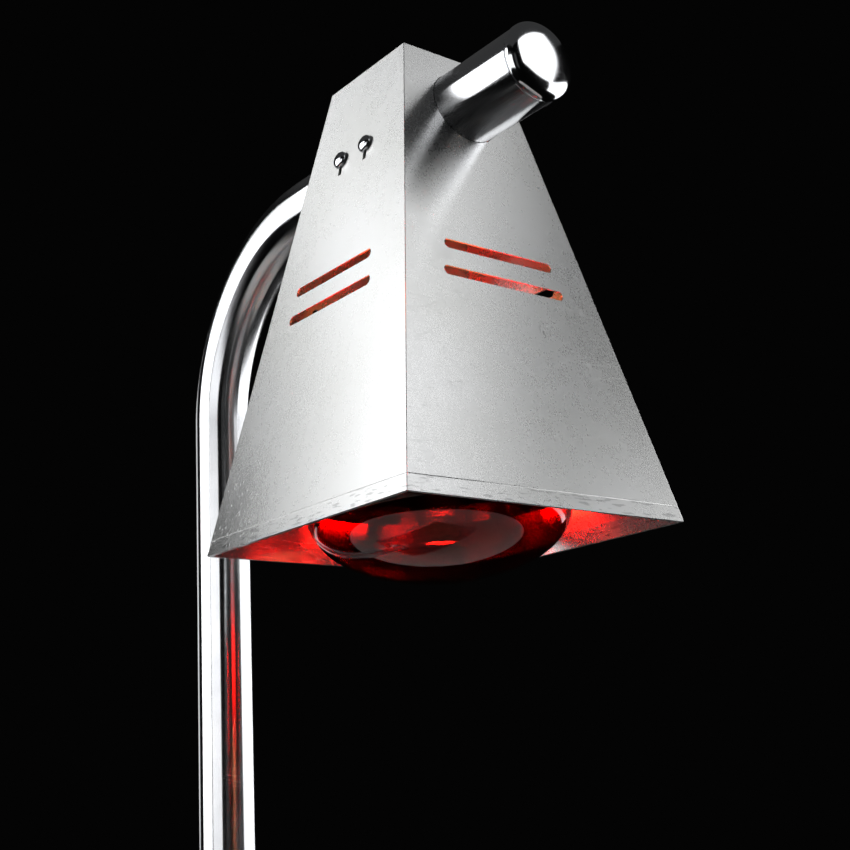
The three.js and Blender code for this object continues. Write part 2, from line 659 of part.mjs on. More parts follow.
// Four screws through the keyholes into nuts behind the bracket's sides, square to the sloping walls.
const NUT_HIGH = 3.2;
for (const [sideName, side] of [["left", -1], ["right", 1]]) {
  for (const [name, y] of [["front", -1], ["rear", 1]]) {
    const seat = new THREE.Group();
    seat.position.set(side * halfSide(SCREW_Z), (y * SCREW_SPACING) / 2, SCREW_Z);
    seat.rotation.y = side * (Math.PI / 2 - LEAN);
    head.add(seat);
    const screw = domeScrew(SCREW_HEAD_RADIUS, SCREW_HEAD_HEIGHT, 1.9, 8);
    add(seat, "shade_screw_" + sideName + "_" + name, screw, "chrome").position.z = GAP;
    const nutTop = -(SHADE_SHEET + 2 * GAP + BRACKET_SHEET);
    const nut = extruded(hexagon(7, 2.2), nutTop - NUT_HIGH, nutTop, 6);
    add(seat, "shade_nut_" + sideName + "_" + name, nut, "zinc");
  }
}

// ---------------------------------------------------------------- lampholder

const SHELL_OUTER = BULB_CAP_RADIUS + 1.2;
const SHELL_INNER = BULB_CAP_RADIUS + 0.4;
const SHELL_LOW = BULB_CAP_LOW + 2;
const SOCKET_HIGH = BULB_TIP_HIGH + 5;

function holderBody() {
  const bore = SHELL_OUTER + GAP;
  const flare = bore + 1;
  const body = turned(
    [
      [bore, HOLDER_MOUTH + 1],
      [flare, HOLDER_MOUTH],
      [HOLDER_RADIUS - 2, HOLDER_MOUTH],
      [HOLDER_RADIUS - 0.5, HOLDER_MOUTH + 2],
      [HOLDER_RADIUS, HOLDER_TOP - 12],
      [HOLDER_RADIUS + 2, HOLDER_TOP - 10],
      [HOLDER_RADIUS + 2, HOLDER_TOP],
      [0, HOLDER_TOP],
      [0, SOCKET_HIGH],
      [bore, SOCKET_HIGH],
      [bore, HOLDER_MOUTH + 1],
    ],
    24,
  );
  const pads = [-1, 1].map((side) =>
    disc(4.4, HOLDER_TOP - 1, BRACKET_FLOOR - GAP, 16).translate([side * HOLDER_SCREW_X, 0, 0]),
  );
  const screwHoles = [-1, 1].map((side) =>
    disc(2, HOLDER_TOP - 9, BRACKET_FLOOR + 1, 12).translate([side * HOLDER_SCREW_X, 0, 0]),
  );
  const wireHole = disc(1.6, SOCKET_HIGH + 4, HOLDER_TOP + 1, 10);
  const wireHoles = [-1, 1].map((side) => wireHole.translate([side * 7, 0, 0]));
  return cut(joined(body, ...pads), ...screwHoles, ...wireHoles);
}

// A springy brass tongue under the socket's ceiling, bent down to meet the bulb's tip.
function holderContact() {
  const outline = new THREE.Shape();
  const high = SOCKET_HIGH - GAP;
  const low = BULB_TIP_HIGH + GAP;
  outline.moveTo(-9, high - 0.8);
  outline.lineTo(-5, high - 0.8);
  outline.lineTo(-3, low);
  outline.lineTo(3, low);
  outline.lineTo(4, low + 0.8);
  outline.lineTo(-2.4, low + 0.8);
  outline.lineTo(-4.4, high);
  outline.lineTo(-9, high);
  outline.closePath();
  return extruded(outline, -2.5, 2.5).rotate([90, 0, 0]);
}

add(head, "holder_body", holderBody(), "porcelain");
add(head, "holder_shell", ring(SHELL_OUTER, SHELL_INNER, SHELL_LOW, BULB_CAP_HIGH + 4), "brass");
add(head, "holder_contact", holderContact(), "brass");
for (const [name, side] of [["left", -1], ["right", 1]]) {
  const length = WEB_HIGH + GAP - HOLDER_TOP + 7;
  const screw = add(head, "holder_screw_" + name, domeScrew(3.4, 2.2, 1.7, length), "zinc");
  screw.position.set(side * HOLDER_SCREW_X, 0, WEB_HIGH + GAP);
}

// Grommet in the sleeve's wire hole: two collars joined by a waist, one below and one inside the sleeve.
function grommet() {
  const underSleeve = SLEEVE_Z - SLEEVE_RADIUS - GAP;
  const collar = 6.4;
  const inSleeve = SLEEVE_Z - Math.sqrt(SLEEVE_BORE ** 2 - collar ** 2) + GAP;
  return turned(
    [
      [3.5, underSleeve - 1.6],
      [collar, underSleeve - 1.6],
      [collar, underSleeve],
      [4.7, underSleeve],
      [4.7, inSleeve],
      [collar, inSleeve],
      [collar, inSleeve + 1.2],
      [3.5, inSleeve + 1.2],
      [3.5, underSleeve - 1.6],
    ],
    20,
  );
}
add(head, "wire_grommet", grommet(), "silicone");

// Lampholder leads: out of the porcelain, through the grommet and along the sleeve to their splices.
const SPLICE_FRONT = -6;
for (const [name, side, finish] of [["live", -1, "liveWire"], ["neutral", 1, "neutralWire"]]) {
  const points = [[side * 7, 0, SOCKET_HIGH + 6], [side * 7, 0, HOLDER_TOP + 1]];
  points.push([side * 4, 0, WEB_HIGH + 1], [side * 1.7, 0, SLEEVE_Z - SLEEVE_RADIUS - 1]);
  points.push([side * 1.8, -1, SLEEVE_Z - SLEEVE_RADIUS + 6], [side * 3, -13, SLEEVE_Z - 7]);
  points.push([side * 3.4, -16, SLEEVE_Z - 2], [side * 3.4, SPLICE_FRONT - GAP, SLEEVE_Z]);
  add(head, "wire_head_" + name, wire(points, 3.5), finish);
  const splice = sleeveLine(disc(2.6, SPLICE_FRONT, SPLICE_Y, 12));
  add(head, "splice_" + name, splice, "nylon").position.x = side * 3.4;
}

// ---------------------------------------------------------------- bulb

const NECK_RADIUS = 19.5;
const STEM_LOW = 92;

// Outline of the glass, from the bottom of its face to its neck, moved in by inset.
function glassOutline(inset) {
  const path = new THREE.Path();
  const wide = BULB_RADIUS - inset;
  path.absellipse(0, BULB_WIDEST, wide, BULB_WIDEST - BULB_LOW - inset, -Math.PI / 2, 0, false);
  path.bezierCurveTo(wide, 46, NECK_RADIUS + 18 - inset, 70, NECK_RADIUS - inset, BULB_NECK_Z);
  path.lineTo(BULB_CAP_RADIUS - 1 - inset, BULB_CAP_LOW - 2);
  path.lineTo(BULB_CAP_RADIUS - 1 - inset, BULB_CAP_LOW + 12);
  return path.getPoints(6).map((point) => [point.x, point.y]);
}

function bulbGlass() {
  const outside = glassOutline(0);
  outside[0][0] = 0;
  const inside = glassOutline(GLASS);
  inside[0][0] = 0;
  return turned([...outside, ...inside.reverse()], 28);
}

function bulbCap() {
  const inner = BULB_CAP_RADIUS - 0.5;
  return ring(BULB_CAP_RADIUS, inner, BULB_CAP_LOW, BULB_CAP_HIGH);
}

const TIP_LOW = BULB_TIP_HIGH - 1.6;
const insulator = turned(
  [
    [0, BULB_CAP_HIGH - 4],
    [BULB_CAP_RADIUS - 0.8, BULB_CAP_HIGH - 4],
    [BULB_CAP_RADIUS - 0.8, BULB_CAP_HIGH],
    [5.4, TIP_LOW - GAP],
    [0, TIP_LOW - GAP],
  ],
  24,
);

// Glass stem with the two lead-in supports standing down from it.
function bulbStem() {
  const high = BULB_CAP_LOW + 9;
  const neck = turned([[0, STEM_LOW], [3, STEM_LOW], [5, STEM_LOW + 12], [9.6, high], [0, high]], 20);
  const supports = [-1, 1].map((side) => {
    const rod = disc(0.7, -34, 10, 8);
    return rod.rotate([0, side * -14, 0]).translate([side * 2.4, 0, STEM_LOW]);
  });
  return joined(neck, ...supports);
}

// The coiled filament as one bowed rod between the supports' ends.
function filament() {
  const path = new THREE.CatmullRomCurve3([
    new THREE.Vector3(-10.2, 0, 57),
    new THREE.Vector3(-6, 2, 53),
    new THREE.Vector3(0, 3, 51.5),
    new THREE.Vector3(6, 2, 53),
    new THREE.Vector3(10.2, 0, 57),
  ]);
  const section = new THREE.Shape().absarc(0, 0, 1.1, 0, Math.PI * 2);
  const options = { steps: 12, extrudePath: path, curveSegments: 4, bevelEnabled: false };
  return solid(new THREE.ExtrudeGeometry(section, options));
}

add(bulb, "bulb_glass", bulbGlass(), "ruby");
add(bulb, "bulb_cap", bulbCap(), "brass");
add(bulb, "bulb_insulator", insulator, "blackGlass");
add(bulb, "bulb_stem", bulbStem(), "glass");
add(bulb, "bulb_filament", filament(), "tungsten");
add(bulb, "bulb_tip", disc(4.6, TIP_LOW, BULB_TIP_HIGH, 16), "zinc");

export default lamp;
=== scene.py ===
import math

import bmesh
import bpy
from mathutils import Matrix, Vector


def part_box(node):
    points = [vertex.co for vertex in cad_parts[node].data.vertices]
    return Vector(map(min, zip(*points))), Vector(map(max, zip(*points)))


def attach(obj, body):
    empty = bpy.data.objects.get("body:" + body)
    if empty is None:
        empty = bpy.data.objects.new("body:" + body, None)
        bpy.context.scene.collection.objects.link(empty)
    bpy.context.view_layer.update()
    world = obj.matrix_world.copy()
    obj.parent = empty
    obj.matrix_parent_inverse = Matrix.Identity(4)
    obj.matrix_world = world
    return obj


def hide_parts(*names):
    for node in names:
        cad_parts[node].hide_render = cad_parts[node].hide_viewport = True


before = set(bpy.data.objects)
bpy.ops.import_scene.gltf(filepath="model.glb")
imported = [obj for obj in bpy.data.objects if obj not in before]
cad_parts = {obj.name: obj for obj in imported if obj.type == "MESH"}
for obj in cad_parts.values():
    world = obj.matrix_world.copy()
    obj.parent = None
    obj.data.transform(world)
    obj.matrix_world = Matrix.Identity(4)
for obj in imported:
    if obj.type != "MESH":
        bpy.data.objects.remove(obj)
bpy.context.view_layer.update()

MM = 0.001
SCENE = bpy.context.scene
rad = math.radians

# ------------------------------------------------------------------ places, from the solids


def low(node):
    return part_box(node)[0] / MM


def high(node):
    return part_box(node)[1] / MM


def middle(node):
    start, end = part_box(node)
    return (start + end) / 2 / MM


def placed(point):
    """The placement that moves a mesh to a point."""
    return Matrix.Translation(Vector(point) * MM)


SHADE = Vector((0, middle("shade_top").y, low("shade_half_left").z))
SHADE_HEIGHT = high("shade_half_left").z - SHADE.z
SHADE_HALF = -low("shade_half_left").x
SHADE_TOP_HALF = 31.25
SHADE_SLOPE = (SHADE_HALF - SHADE_TOP_HALF) / SHADE_HEIGHT
SLEEVE_Z = middle("sleeve_tube").z
SLEEVE_RADIUS = (high("sleeve_tube").x - low("sleeve_tube").x) / 2
SLEEVE_BORE = SLEEVE_RADIUS - 1.2
POST_RADIUS = 15.875
POST_Y = middle("post_flange").y
BASE_LOW, BASE_HIGH = low("base_housing"), high("base_housing")
BASE_MIDDLE = middle("base_housing")
FEET = ["front_left", "front_right", "rear_left", "rear_right"]
THREAD_PITCH = 3.63

# ------------------------------------------------------------------ camera

CAMERA_PLACE = Vector((-0.399157, -0.572508, 0.304672))
CAMERA_YAW, CAMERA_PITCH, CAMERA_ROLL = 0.6702201, 0.2628345, -0.0530970
CAMERA_LENS = 58.292


def make_camera():
    ahead = Vector(
        (
            math.cos(CAMERA_PITCH) * math.sin(CAMERA_YAW),
            math.cos(CAMERA_PITCH) * math.cos(CAMERA_YAW),
            math.sin(CAMERA_PITCH),
        )
    )
    level = Vector((math.cos(CAMERA_YAW), -math.sin(CAMERA_YAW), 0))
    over = level.cross(ahead)
    right = math.cos(CAMERA_ROLL) * level + math.sin(CAMERA_ROLL) * over
    up = right.cross(ahead)
    data = bpy.data.cameras.new("camera")
    data.lens = CAMERA_LENS
    data.sensor_width = 36
    data.clip_start = 0.01
    camera = bpy.data.objects.new("camera", data)
    SCENE.collection.objects.link(camera)
    turn = Matrix((right, up, -ahead)).transposed().to_4x4()
    camera.matrix_world = Matrix.Translation(CAMERA_PLACE) @ turn
    SCENE.camera = camera


make_camera()

# ------------------------------------------------------------------ materials


def colour(code):
    """sRGB hex to the linear colour that a shader reads."""
    parts = [int(code[i : i + 2], 16) / 255 for i in (1, 3, 5)]
    linear = [c / 12.92 if c <= 0.04045 else ((c + 0.055) / 1.055) ** 2.4 for c in parts]
    return (*linear, 1.0)


def add(tree, kind, inputs=(), stops=(), **settings):
    """Adds a node with its settings. An input takes a value, or another node's output, which is linked."""
    made = tree.nodes.new(kind)
    for name, value in settings.items():
        setattr(made, name, value)
    for name, value in dict(inputs).items():
        socket = made.inputs[name]
        if isinstance(value, bpy.types.NodeSocket):
            tree.links.new(value, socket)
        else:
            socket.default_value = value
    for i, (place, shade) in enumerate(stops):
        ramp = made.color_ramp.elements
        stop = ramp[i] if i < len(ramp) else ramp.new(place)
        stop.position = place
        stop.color = (shade, shade, shade, 1) if isinstance(shade, float) else shade
    return made


class Finish:
    """A material that starts from Principled BSDF and the piece's own coordinates, in millimetres."""

    def __init__(self, name, roughness, metallic=0.0, own_direction=False, **sockets):
        self.material = bpy.data.materials.new(name)
        self.material.use_nodes = True
        self.tree = self.material.node_tree
        self.shader = self.tree.nodes["Principled BSDF"]
        self.shader.inputs["Metallic"].default_value = metallic
        self.shader.inputs["Roughness"].default_value = roughness
        for socket, value in sockets.items():
            self.shader.inputs[socket.replace("_", " ")].default_value = value
        self.roughness = roughness
        self.height = None
        if self.shader.inputs["Anisotropic"].default_value:
            along = (0, 0, 1)
            if own_direction:
                along = add(self.tree, "ShaderNodeAttribute", attribute_name="along").outputs["Vector"]
            spaces = {"vector_type": "VECTOR", "convert_from": "OBJECT", "convert_to": "WORLD"}
            turned_with = add(self.tree, "ShaderNodeVectorTransform", {0: along}, **spaces)
            self.tree.links.new(turned_with.outputs[0], self.shader.inputs["Tangent"])
        place = add(self.tree, "ShaderNodeTexCoord").outputs["Object"]
        in_millimetres = {"Vector": place, "Scale": (1000, 1000, 1000)}
        self.place = add(self.tree, "ShaderNodeMapping", in_millimetres).outputs[0]

    def noise(self, size, detail=3.0, turn=(0, 0, 0), distortion=0.0):
        """Noise whose features are that many millimetres across, along each axis."""
        across = (size,) * 3 if isinstance(size, (int, float)) else size
        scale = tuple(1 / s for s in across)
        laid = add(self.tree, "ShaderNodeMapping", {"Vector": self.place, "Rotation": turn, "Scale": scale})
        inputs = {"Vector": laid.outputs[0], "Scale": 1.0, "Detail": detail, "Distortion": distortion}
        return add(self.tree, "ShaderNodeTexNoise", inputs).outputs["Fac"]

    def span(self, value, from_low, from_high, to_low=0.0, to_high=1.0):
        inputs = {0: value, 1: from_low, 2: from_high, 3: to_low, 4: to_high}
        return add(self.tree, "ShaderNodeMapRange", inputs).outputs[0]

    def plus(self, first, second):
        return add(self.tree, "ShaderNodeMath", {0: first, 1: second}, operation="ADD").outputs[0]

    def times(self, first, second):
        return add(self.tree, "ShaderNodeMath", {0: first, 1: second}, operation="MULTIPLY").outputs[0]

    def mix(self, share, first, second):
        inputs = {0: share, 6: first, 7: second}
        return add(self.tree, "ShaderNodeMix", inputs, data_type="RGBA").outputs[2]

    def paint(self, value):
        self.tree.links.new(value, self.shader.inputs["Base Color"])

    def tones(self, base, other, size):
        """Colour that drifts between two tones in patches of that size."""
        share = self.span(self.noise(size, 4.0), 0.35, 0.65)
        made = self.mix(share, colour(base), colour(other))
        self.paint(made)
        return made

    def smears(self, size, spread, extra=None):
        """Roughness that drifts about its middle value, as handling and cleaning leave it."""
        drift = self.span(self.noise(size, 5.0, distortion=0.6), 0.3, 0.7, -spread, spread)
        value = self.plus(drift, self.roughness)
        if extra is not None:
            value = self.plus(value, extra)
        clamped = self.span(value, 0.0, 1.0)
        self.tree.links.new(clamped, self.shader.inputs["Roughness"])

    def raise_by(self, value, depth):
        """Adds a height pattern, depth millimetres high, to the bump."""
        inputs = {"Height": value, "Distance": depth * MM, "Strength": 1.0}
        if self.height is not None:
            inputs["Normal"] = self.height
        self.height = add(self.tree, "ShaderNodeBump", inputs).outputs[0]
        self.tree.links.new(self.height, self.shader.inputs["Normal"])

    def scratches(self, length, gap, turn, amount):
        """Thin broken lines: the edges of long cells, kept only where a slow noise lets them show."""
        scale = (1 / length, 1 / gap, 1 / gap)
        laid = add(self.tree, "ShaderNodeMapping", {"Vector": self.place, "Rotation": turn, "Scale": scale})
        spread = {"Vector": laid.outputs[0], "Scale": 1.0, "Randomness": 1.0}
        cells = add(self.tree, "ShaderNodeTexVoronoi", spread, feature="DISTANCE_TO_EDGE").outputs["Distance"]
        line = self.span(cells, 0.0, 0.02, 1.0, 0.0)
        kept = self.span(self.noise(length / 3, 2.0), 1 - amount - 0.1, 1 - amount)
        return self.times(line, kept)


def sheet_metal(name, bow):
    """Shade: aluminium sheet with a satin mill finish. It blurs what it mirrors, mostly up and down, and
    its grain is just visible. Handling has left fine scratches, specks by the rear fold, a rubbed hem and
    a scuff. Each half has sprung a little from flat in folding, bow millimetres at its ends."""
    made = Finish(name, 0.28, 1.0, Anisotropic=0.95)
    place = add(made.tree, "ShaderNodeSeparateXYZ", {0: made.place})
    x, y, z = place.outputs
    base = made.tones("#DEDFE0", "#D6D7D6", 90)
    # Grain of the rolled sheet, drawn at 0.9 mm so that it shows.
    grain = made.noise((0.9, 0.9, 1.3), 4.0)
    mottle = made.noise((5.0, 5.0, 7.0), 3.0)
    fine = made.span(grain, 0.35, 0.65)
    # Specks and small dents low down beside the rear left fold.
    low_down = made.span(z, SHADE.z + 62, SHADE.z + 4)
    by_fold = made.span(y, SHADE.y + 26, SHADE.y + 70)
    worn = made.times(low_down, by_fold)
    spread = {"Vector": made.place, "Scale": 0.33, "Randomness": 1.0}
    cells = add(made.tree, "ShaderNodeTexVoronoi", spread).outputs["Distance"]
    speck = made.times(made.span(cells, 0.16, 0.22, 1.0, 0.0), worn)
    lines = made.scratches(60, 5, (0.3, 0.9, 0.4), 0.42)
    cross = made.scratches(40, 7, (1.2, -0.5, 0.9), 0.40)
    marks = made.plus(lines, cross)
    # Light rubbing along the hem, in short broken strokes.
    above, below = made.span(z, SHADE.z - 1, SHADE.z + 1), made.span(z, SHADE.z + 9, SHADE.z + 6)
    hem_band = made.times(below, above)
    stroke = made.span(made.noise((9, 9, 1.2), 2.0), 0.57, 0.62)
    hem_wear = made.times(stroke, hem_band)
    dull = made.mix(made.times(hem_wear, 0.5), base, colour("#8E8F90"))
    # A dark scuff on the front face.
    ends = {0: made.place, 1: (18.0, SHADE.y - 65.0, SHADE.z + 88.0)}
    scuff_place = add(made.tree, "ShaderNodeVectorMath", ends, operation="DISTANCE").outputs["Value"]
    rubbed = made.span(made.noise((1.1, 1.1, 5.0), 2.0, (0, 0.5, 0)), 0.52, 0.58)
    scuff = made.times(made.span(scuff_place, 5.5, 2.5), rubbed)
    made.paint(made.mix(made.times(scuff, 0.75), dull, colour("#4A4B4A")))
    extra = made.plus(made.span(fine, 0, 1, -0.01, 0.01), made.span(mottle, 0.4, 0.6, -0.004, 0.004))
    extra = made.plus(extra, made.times(marks, 0.05))
    extra = made.plus(extra, made.times(worn, -0.05))
    made.smears(60, 0.008, extra)
    from_middle = made.span(z, SHADE.z, SHADE.z + SHADE_HEIGHT, -1, 1)
    made.raise_by(made.times(from_middle, from_middle), bow)
    made.raise_by(grain, 0.0009)
    made.raise_by(mottle, 0.0006)
    made.raise_by(marks, -0.0015)
    made.raise_by(speck, 0.05)
    made.raise_by(scuff, -0.02)
    return made.material


def polished_chrome(name, roughness, scratch_amount, tint="#E4E5E8", smear=0.0):
    """Chrome plate over polished steel: a mirror, broken only by hairlines from wiping. On tube the polishing
    wheel has left lines round it, too fine to see, which draw reflections out along it."""
    made = Finish(name, roughness, 1.0, own_direction=smear > 0, Anisotropic=smear)
    made.tones(tint, "#D9DBDF", 45)
    lines = made.scratches(50, 2.2, (0.2, 0.5, 0.7), scratch_amount)
    rings = made.scratches(30, 1.6, (1.3, 0.2, 0.1), scratch_amount * 0.8)
    marks = made.plus(lines, rings)
    made.smears(18, 0.02, made.times(marks, 0.10))
    made.raise_by(made.noise((26, 26, 40), 1.0), 0.02)
    made.raise_by(marks, -0.003)
    return made.material


def brushed_steel(name, base, other, roughness, line):
    """Stainless sheet brushed one way: fine parallel lines spread the highlight across them."""
    made = Finish(name, roughness, 1.0, Anisotropic=0.55)
    made.tones(base, other, 50)
    lines = made.noise(line, 4.0)
    coarse = made.noise((line[0] * 1.4, line[1] * 4, line[2] * 4), 3.0)
    marks = made.scratches(45, 6, (0.4, 0.3, 0.8), 0.4)
    extra = made.plus(made.span(lines, 0.3, 0.7, -0.05, 0.06), made.span(coarse, 0.3, 0.7, -0.03, 0.04))
    made.smears(35, 0.04, made.plus(extra, made.times(marks, 0.12)))
    made.raise_by(lines, 0.004)
    made.raise_by(marks, -0.01)
    return made.material


def cast_or_plated(name, base, other, roughness, patch, pit, depth, metallic=1.0, **sockets):
    """Plated, stamped or sintered metal, and moulded goods: patches of tone and a fine pitted skin."""
    made = Finish(name, roughness, metallic, **sockets)
    made.tones(base, other, patch)
    skin = made.noise(pit, 4.0)
    marks = made.scratches(14, 2.5, (0.6, 0.4, 0.2), 0.42)
    extra = made.plus(made.span(skin, 0.35, 0.65, -0.04, 0.05), made.times(marks, 0.10))
    made.smears(patch * 1.5, 0.05, extra)
    made.raise_by(skin, depth)
    made.raise_by(marks, -0.004)
    return made.material


def ruby_glass():
    """Bulb: blown glass coloured ruby through its thickness, so that it looks nearly black where nothing
    bright is behind it. Blowing has left it very slightly wavy."""
    made = Finish("ruby_glass", 0.015, IOR=1.5, Transmission_Weight=1.0, Specular_IOR_Level=0.15)
    made.tones("#A01418", "#8A1014", 40)
    made.smears(15, 0.01)
    made.raise_by(made.noise((22, 22, 14), 1.5), 0.05)
    return made.material


def mirror_coat():
    """Aluminium vapour laid inside the bulb's cone: a mirror with faint rings from the blown glass."""
    made = Finish("vapour_aluminium", 0.06, 1.0)
    made.tones("#E9E6E2", "#D8D2CC", 18)
    made.smears(9, 0.03)
    made.raise_by(made.noise((40, 40, 1.6), 2.0), 0.05)
    return made.material


def glowing(name, code, strength):
    """Tungsten coil at work: it glows orange-white along its length."""
    made = Finish(name, 0.5, 1.0)
    heat = made.mix(made.span(made.noise(4, 2.0), 0.35, 0.65), colour(code), colour("#FF9A4A"))
    made.paint(heat)
    made.tree.links.new(heat, made.shader.inputs["Emission Color"])
    made.shader.inputs["Emission Strength"].default_value = strength
    return made.material


def clear_glass():
    """Stem and bead: clear soft glass, a little seedy."""
    made = Finish("clear_glass", 0.03, IOR=1.5, Transmission_Weight=1.0)
    made.tones("#F3F7F6", "#E6EEEC", 12)
    made.smears(6, 0.02)
    made.raise_by(made.noise(3, 2.0), 0.02)
    return made.material


def porcelain():
    """Glazed porcelain: cream body under a clear glaze, with a faint orange-peel surface."""
    made = Finish("glazed_porcelain", 0.16, IOR=1.5, Coat_Weight=0.6, Coat_Roughness=0.06)
    made.tones("#EDE7DA", "#E2DAC9", 16)
    made.smears(10, 0.04)
    made.raise_by(made.noise(2.5, 2.0), 0.015)
    return made.material


SHEETS = {
    "left": sheet_metal("satin_aluminium_left", 3.2),
    "right": sheet_metal("satin_aluminium_right", 0.3),
}
POST_CHROME = polished_chrome("polished_chrome_tube", 0.19, 0.30, smear=0.97)
SLEEVE_CHROME = polished_chrome("buffed_chrome_tube", 0.16, 0.34, "#DEDFE2", 0.95)
CAP_CHROME = polished_chrome("pressed_chrome_cap", 0.10, 0.36, "#DEDFE2")
SCREW_CHROME = polished_chrome("bright_chrome_screws", 0.08, 0.30)
BASE_STEEL = brushed_steel("brushed_stainless_sheet", "#C3C5C7", "#B6B8BA", 0.30, line=(0.35, 70, 0.35))
COVER_STEEL = brushed_steel("plain_steel_cover", "#A9ABAD", "#9C9EA0", 0.36, line=(70, 0.4, 0.4))
BRACKET_STEEL = cast_or_plated("zinc_plated_sheet", "#B9BBB7", "#A6A8A2", 0.34, 9, 1.2, 0.006)
ZINC = cast_or_plated("zinc_plated_screws", "#C4C3B8", "#AEADA2", 0.30, 3, 0.6, 0.004)
BRASS = cast_or_plated("stamped_brass", "#C8A55C", "#B08B45", 0.28, 6, 0.8, 0.005)
BRONZE = cast_or_plated("sintered_bronze", "#A07A4C", "#8A653B", 0.48, 3, 0.35, 0.02)
RUBBER = cast_or_plated("moulded_rubber", "#1D1D1E", "#262626", 0.72, 6, 0.5, 0.02, 0.0)
GLOSSY = cast_or_plated("glossy_switch_plastic", "#141416", "#19191B", 0.22, 8, 0.8, 0.004, 0.0, IOR=1.5)
NYLON = cast_or_plated("moulded_black_nylon", "#18191A", "#202122", 0.48, 6, 0.6, 0.012, 0.0, IOR=1.53)
CREAM_NYLON = cast_or_plated("natural_nylon", "#E4DFCF", "#D8D1BD", 0.45, 6, 0.7, 0.010, 0.0, IOR=1.53)
SILICONE = cast_or_plated("red_silicone", "#8E3422", "#7C2A1B", 0.55, 4, 0.5, 0.010, 0.0)
LIVE = cast_or_plated("brown_wire_sleeve", "#5C3B25", "#4E301D", 0.55, 4, 0.5, 0.010, 0.0)
NEUTRAL = cast_or_plated("white_wire_sleeve", "#E3E0D6", "#D5D1C4", 0.55, 4, 0.5, 0.010, 0.0)
SOLDER = cast_or_plated("solder_bead", "#B9B8B0", "#A3A29A", 0.38, 2, 0.6, 0.010)
BLACK_GLASS = cast_or_plated("fused_black_glass", "#101014", "#17171C", 0.12, 4, 1.0, 0.006, 0.0, IOR=1.5)
RUBY = ruby_glass()
MIRROR = mirror_coat()
GLOW = glowing("tungsten_at_work", "#FFC890", 260.0)
CLEAR = clear_glass()
PORCELAIN = porcelain()

# ------------------------------------------------------------------ shapes

ALONG_Y = Matrix.Rotation(rad(-90), 4, "X")  # turns +Z to +Y
FACING_FRONT = Matrix.Rotation(rad(90), 4, "X")  # turns +Z to -Y


def eased(profile, radius, steps=4):
    """A profile with its corners rounded. The ends of an open profile stay."""
    closed = profile[0] == profile[-1]
    points = [Vector(p) for p in (profile[:-1] if closed else profile)]
    count = len(points)
    made = []
    for i, point in enumerate(points):
        end = not closed and i in (0, count - 1)
        before, after = points[i - 1] - point, points[(i + 1) % count] - point
        if end or before.angle(after, math.pi) > rad(165):
            made.append(point)
            continue
        reach = min(radius, 0.45 * before.length, 0.45 * after.length)
        start, stop = point + before.normalized() * reach, point + after.normalized() * reach
        for k in range(steps + 1):
            t = k / steps
            made.append((1 - t) ** 2 * start + 2 * t * (1 - t) * point + t * t * stop)
    if closed:
        made.append(made[0])
    return [tuple(p) for p in made]


def turned(profile, at=Matrix(), segments=72, ripple=None):
    """Turns (radius, height) points about Z, then places them. ripple(angle, height) adds to a radius."""
    mesh = bmesh.new()
    closed = profile[0] == profile[-1]
    rows = []
    for radius, height in profile[:-1] if closed else profile:
        if radius < 1e-6:
            rows.append([mesh.verts.new(at @ (Vector((0, 0, height)) * MM))])
            continue
        row = []
        for k in range(segments):
            angle = 2 * math.pi * k / segments
            r = radius + (ripple(angle, height) if ripple else 0)
            spot = Vector((r * math.cos(angle), r * math.sin(angle), height))
            row.append(mesh.verts.new(at @ (spot * MM)))
        rows.append(row)
    pairs = list(zip(rows, rows[1:] + rows[:1] if closed else rows[1:]))
    for first, second in pairs:
        for k in range(segments):
            n = (k + 1) % segments
            if len(first) == 1 and len(second) == 1:
                continue
            if len(first) == 1:
                mesh.faces.new((first[0], second[n], second[k]))
            elif len(second) == 1:
                mesh.faces.new((first[k], first[n], second[0]))
            else:
                mesh.faces.new((first[k], first[n], second[n], second[k]))
    bmesh.ops.recalc_face_normals(mesh, faces=mesh.faces)
    return mesh


def rounded_loop(half_x, half_y, radius, steps=10):
    points = []
    for quarter, (cx, cy) in enumerate(((1, 1), (-1, 1), (-1, -1), (1, -1))):
        for k in range(steps + 1):
            angle = math.pi / 2 * (quarter + k / steps)
            x = cx * (half_x - radius) + radius * math.cos(angle)
            points.append((x, cy * (half_y - radius) + radius * math.sin(angle)))
    return points


def lofted(loops, at=Matrix()):
    """Skins a stack of loops, given as lists of 3-D points in millimetres, and caps both ends."""
    mesh = bmesh.new()
    rows = [[mesh.verts.new(at @ (Vector(p) * MM)) for p in loop] for loop in loops]
    for first, second in zip(rows, rows[1:]):
        for k in range(len(first)):
            n = (k + 1) % len(first)
            mesh.faces.new((first[k], first[n], second[n], second[k]))
    mesh.faces.new(rows[0][::-1])
    mesh.faces.new(rows[-1])
    bmesh.ops.recalc_face_normals(mesh, faces=mesh.faces)
    return mesh


def box_mesh(low_corner, high_corner, at=Matrix()):
    (x0, y0, z0), (x1, y1, z1) = low_corner, high_corner
    return lofted([[(x0, y0, z), (x1, y0, z), (x1, y1, z), (x0, y1, z)] for z in (z0, z1)], at)


def hexagon_loop(across, z):
    corner = across / math.sqrt(3)
    return [(corner * math.cos(rad(60 * k)), corner * math.sin(rad(60 * k)), z) for k in range(6)]


def object_of(mesh, name):
    data = bpy.data.meshes.new(name)
    mesh.to_mesh(data)
    mesh.free()
    made = bpy.data.objects.new(name, data)
    SCENE.collection.objects.link(made)
    return made


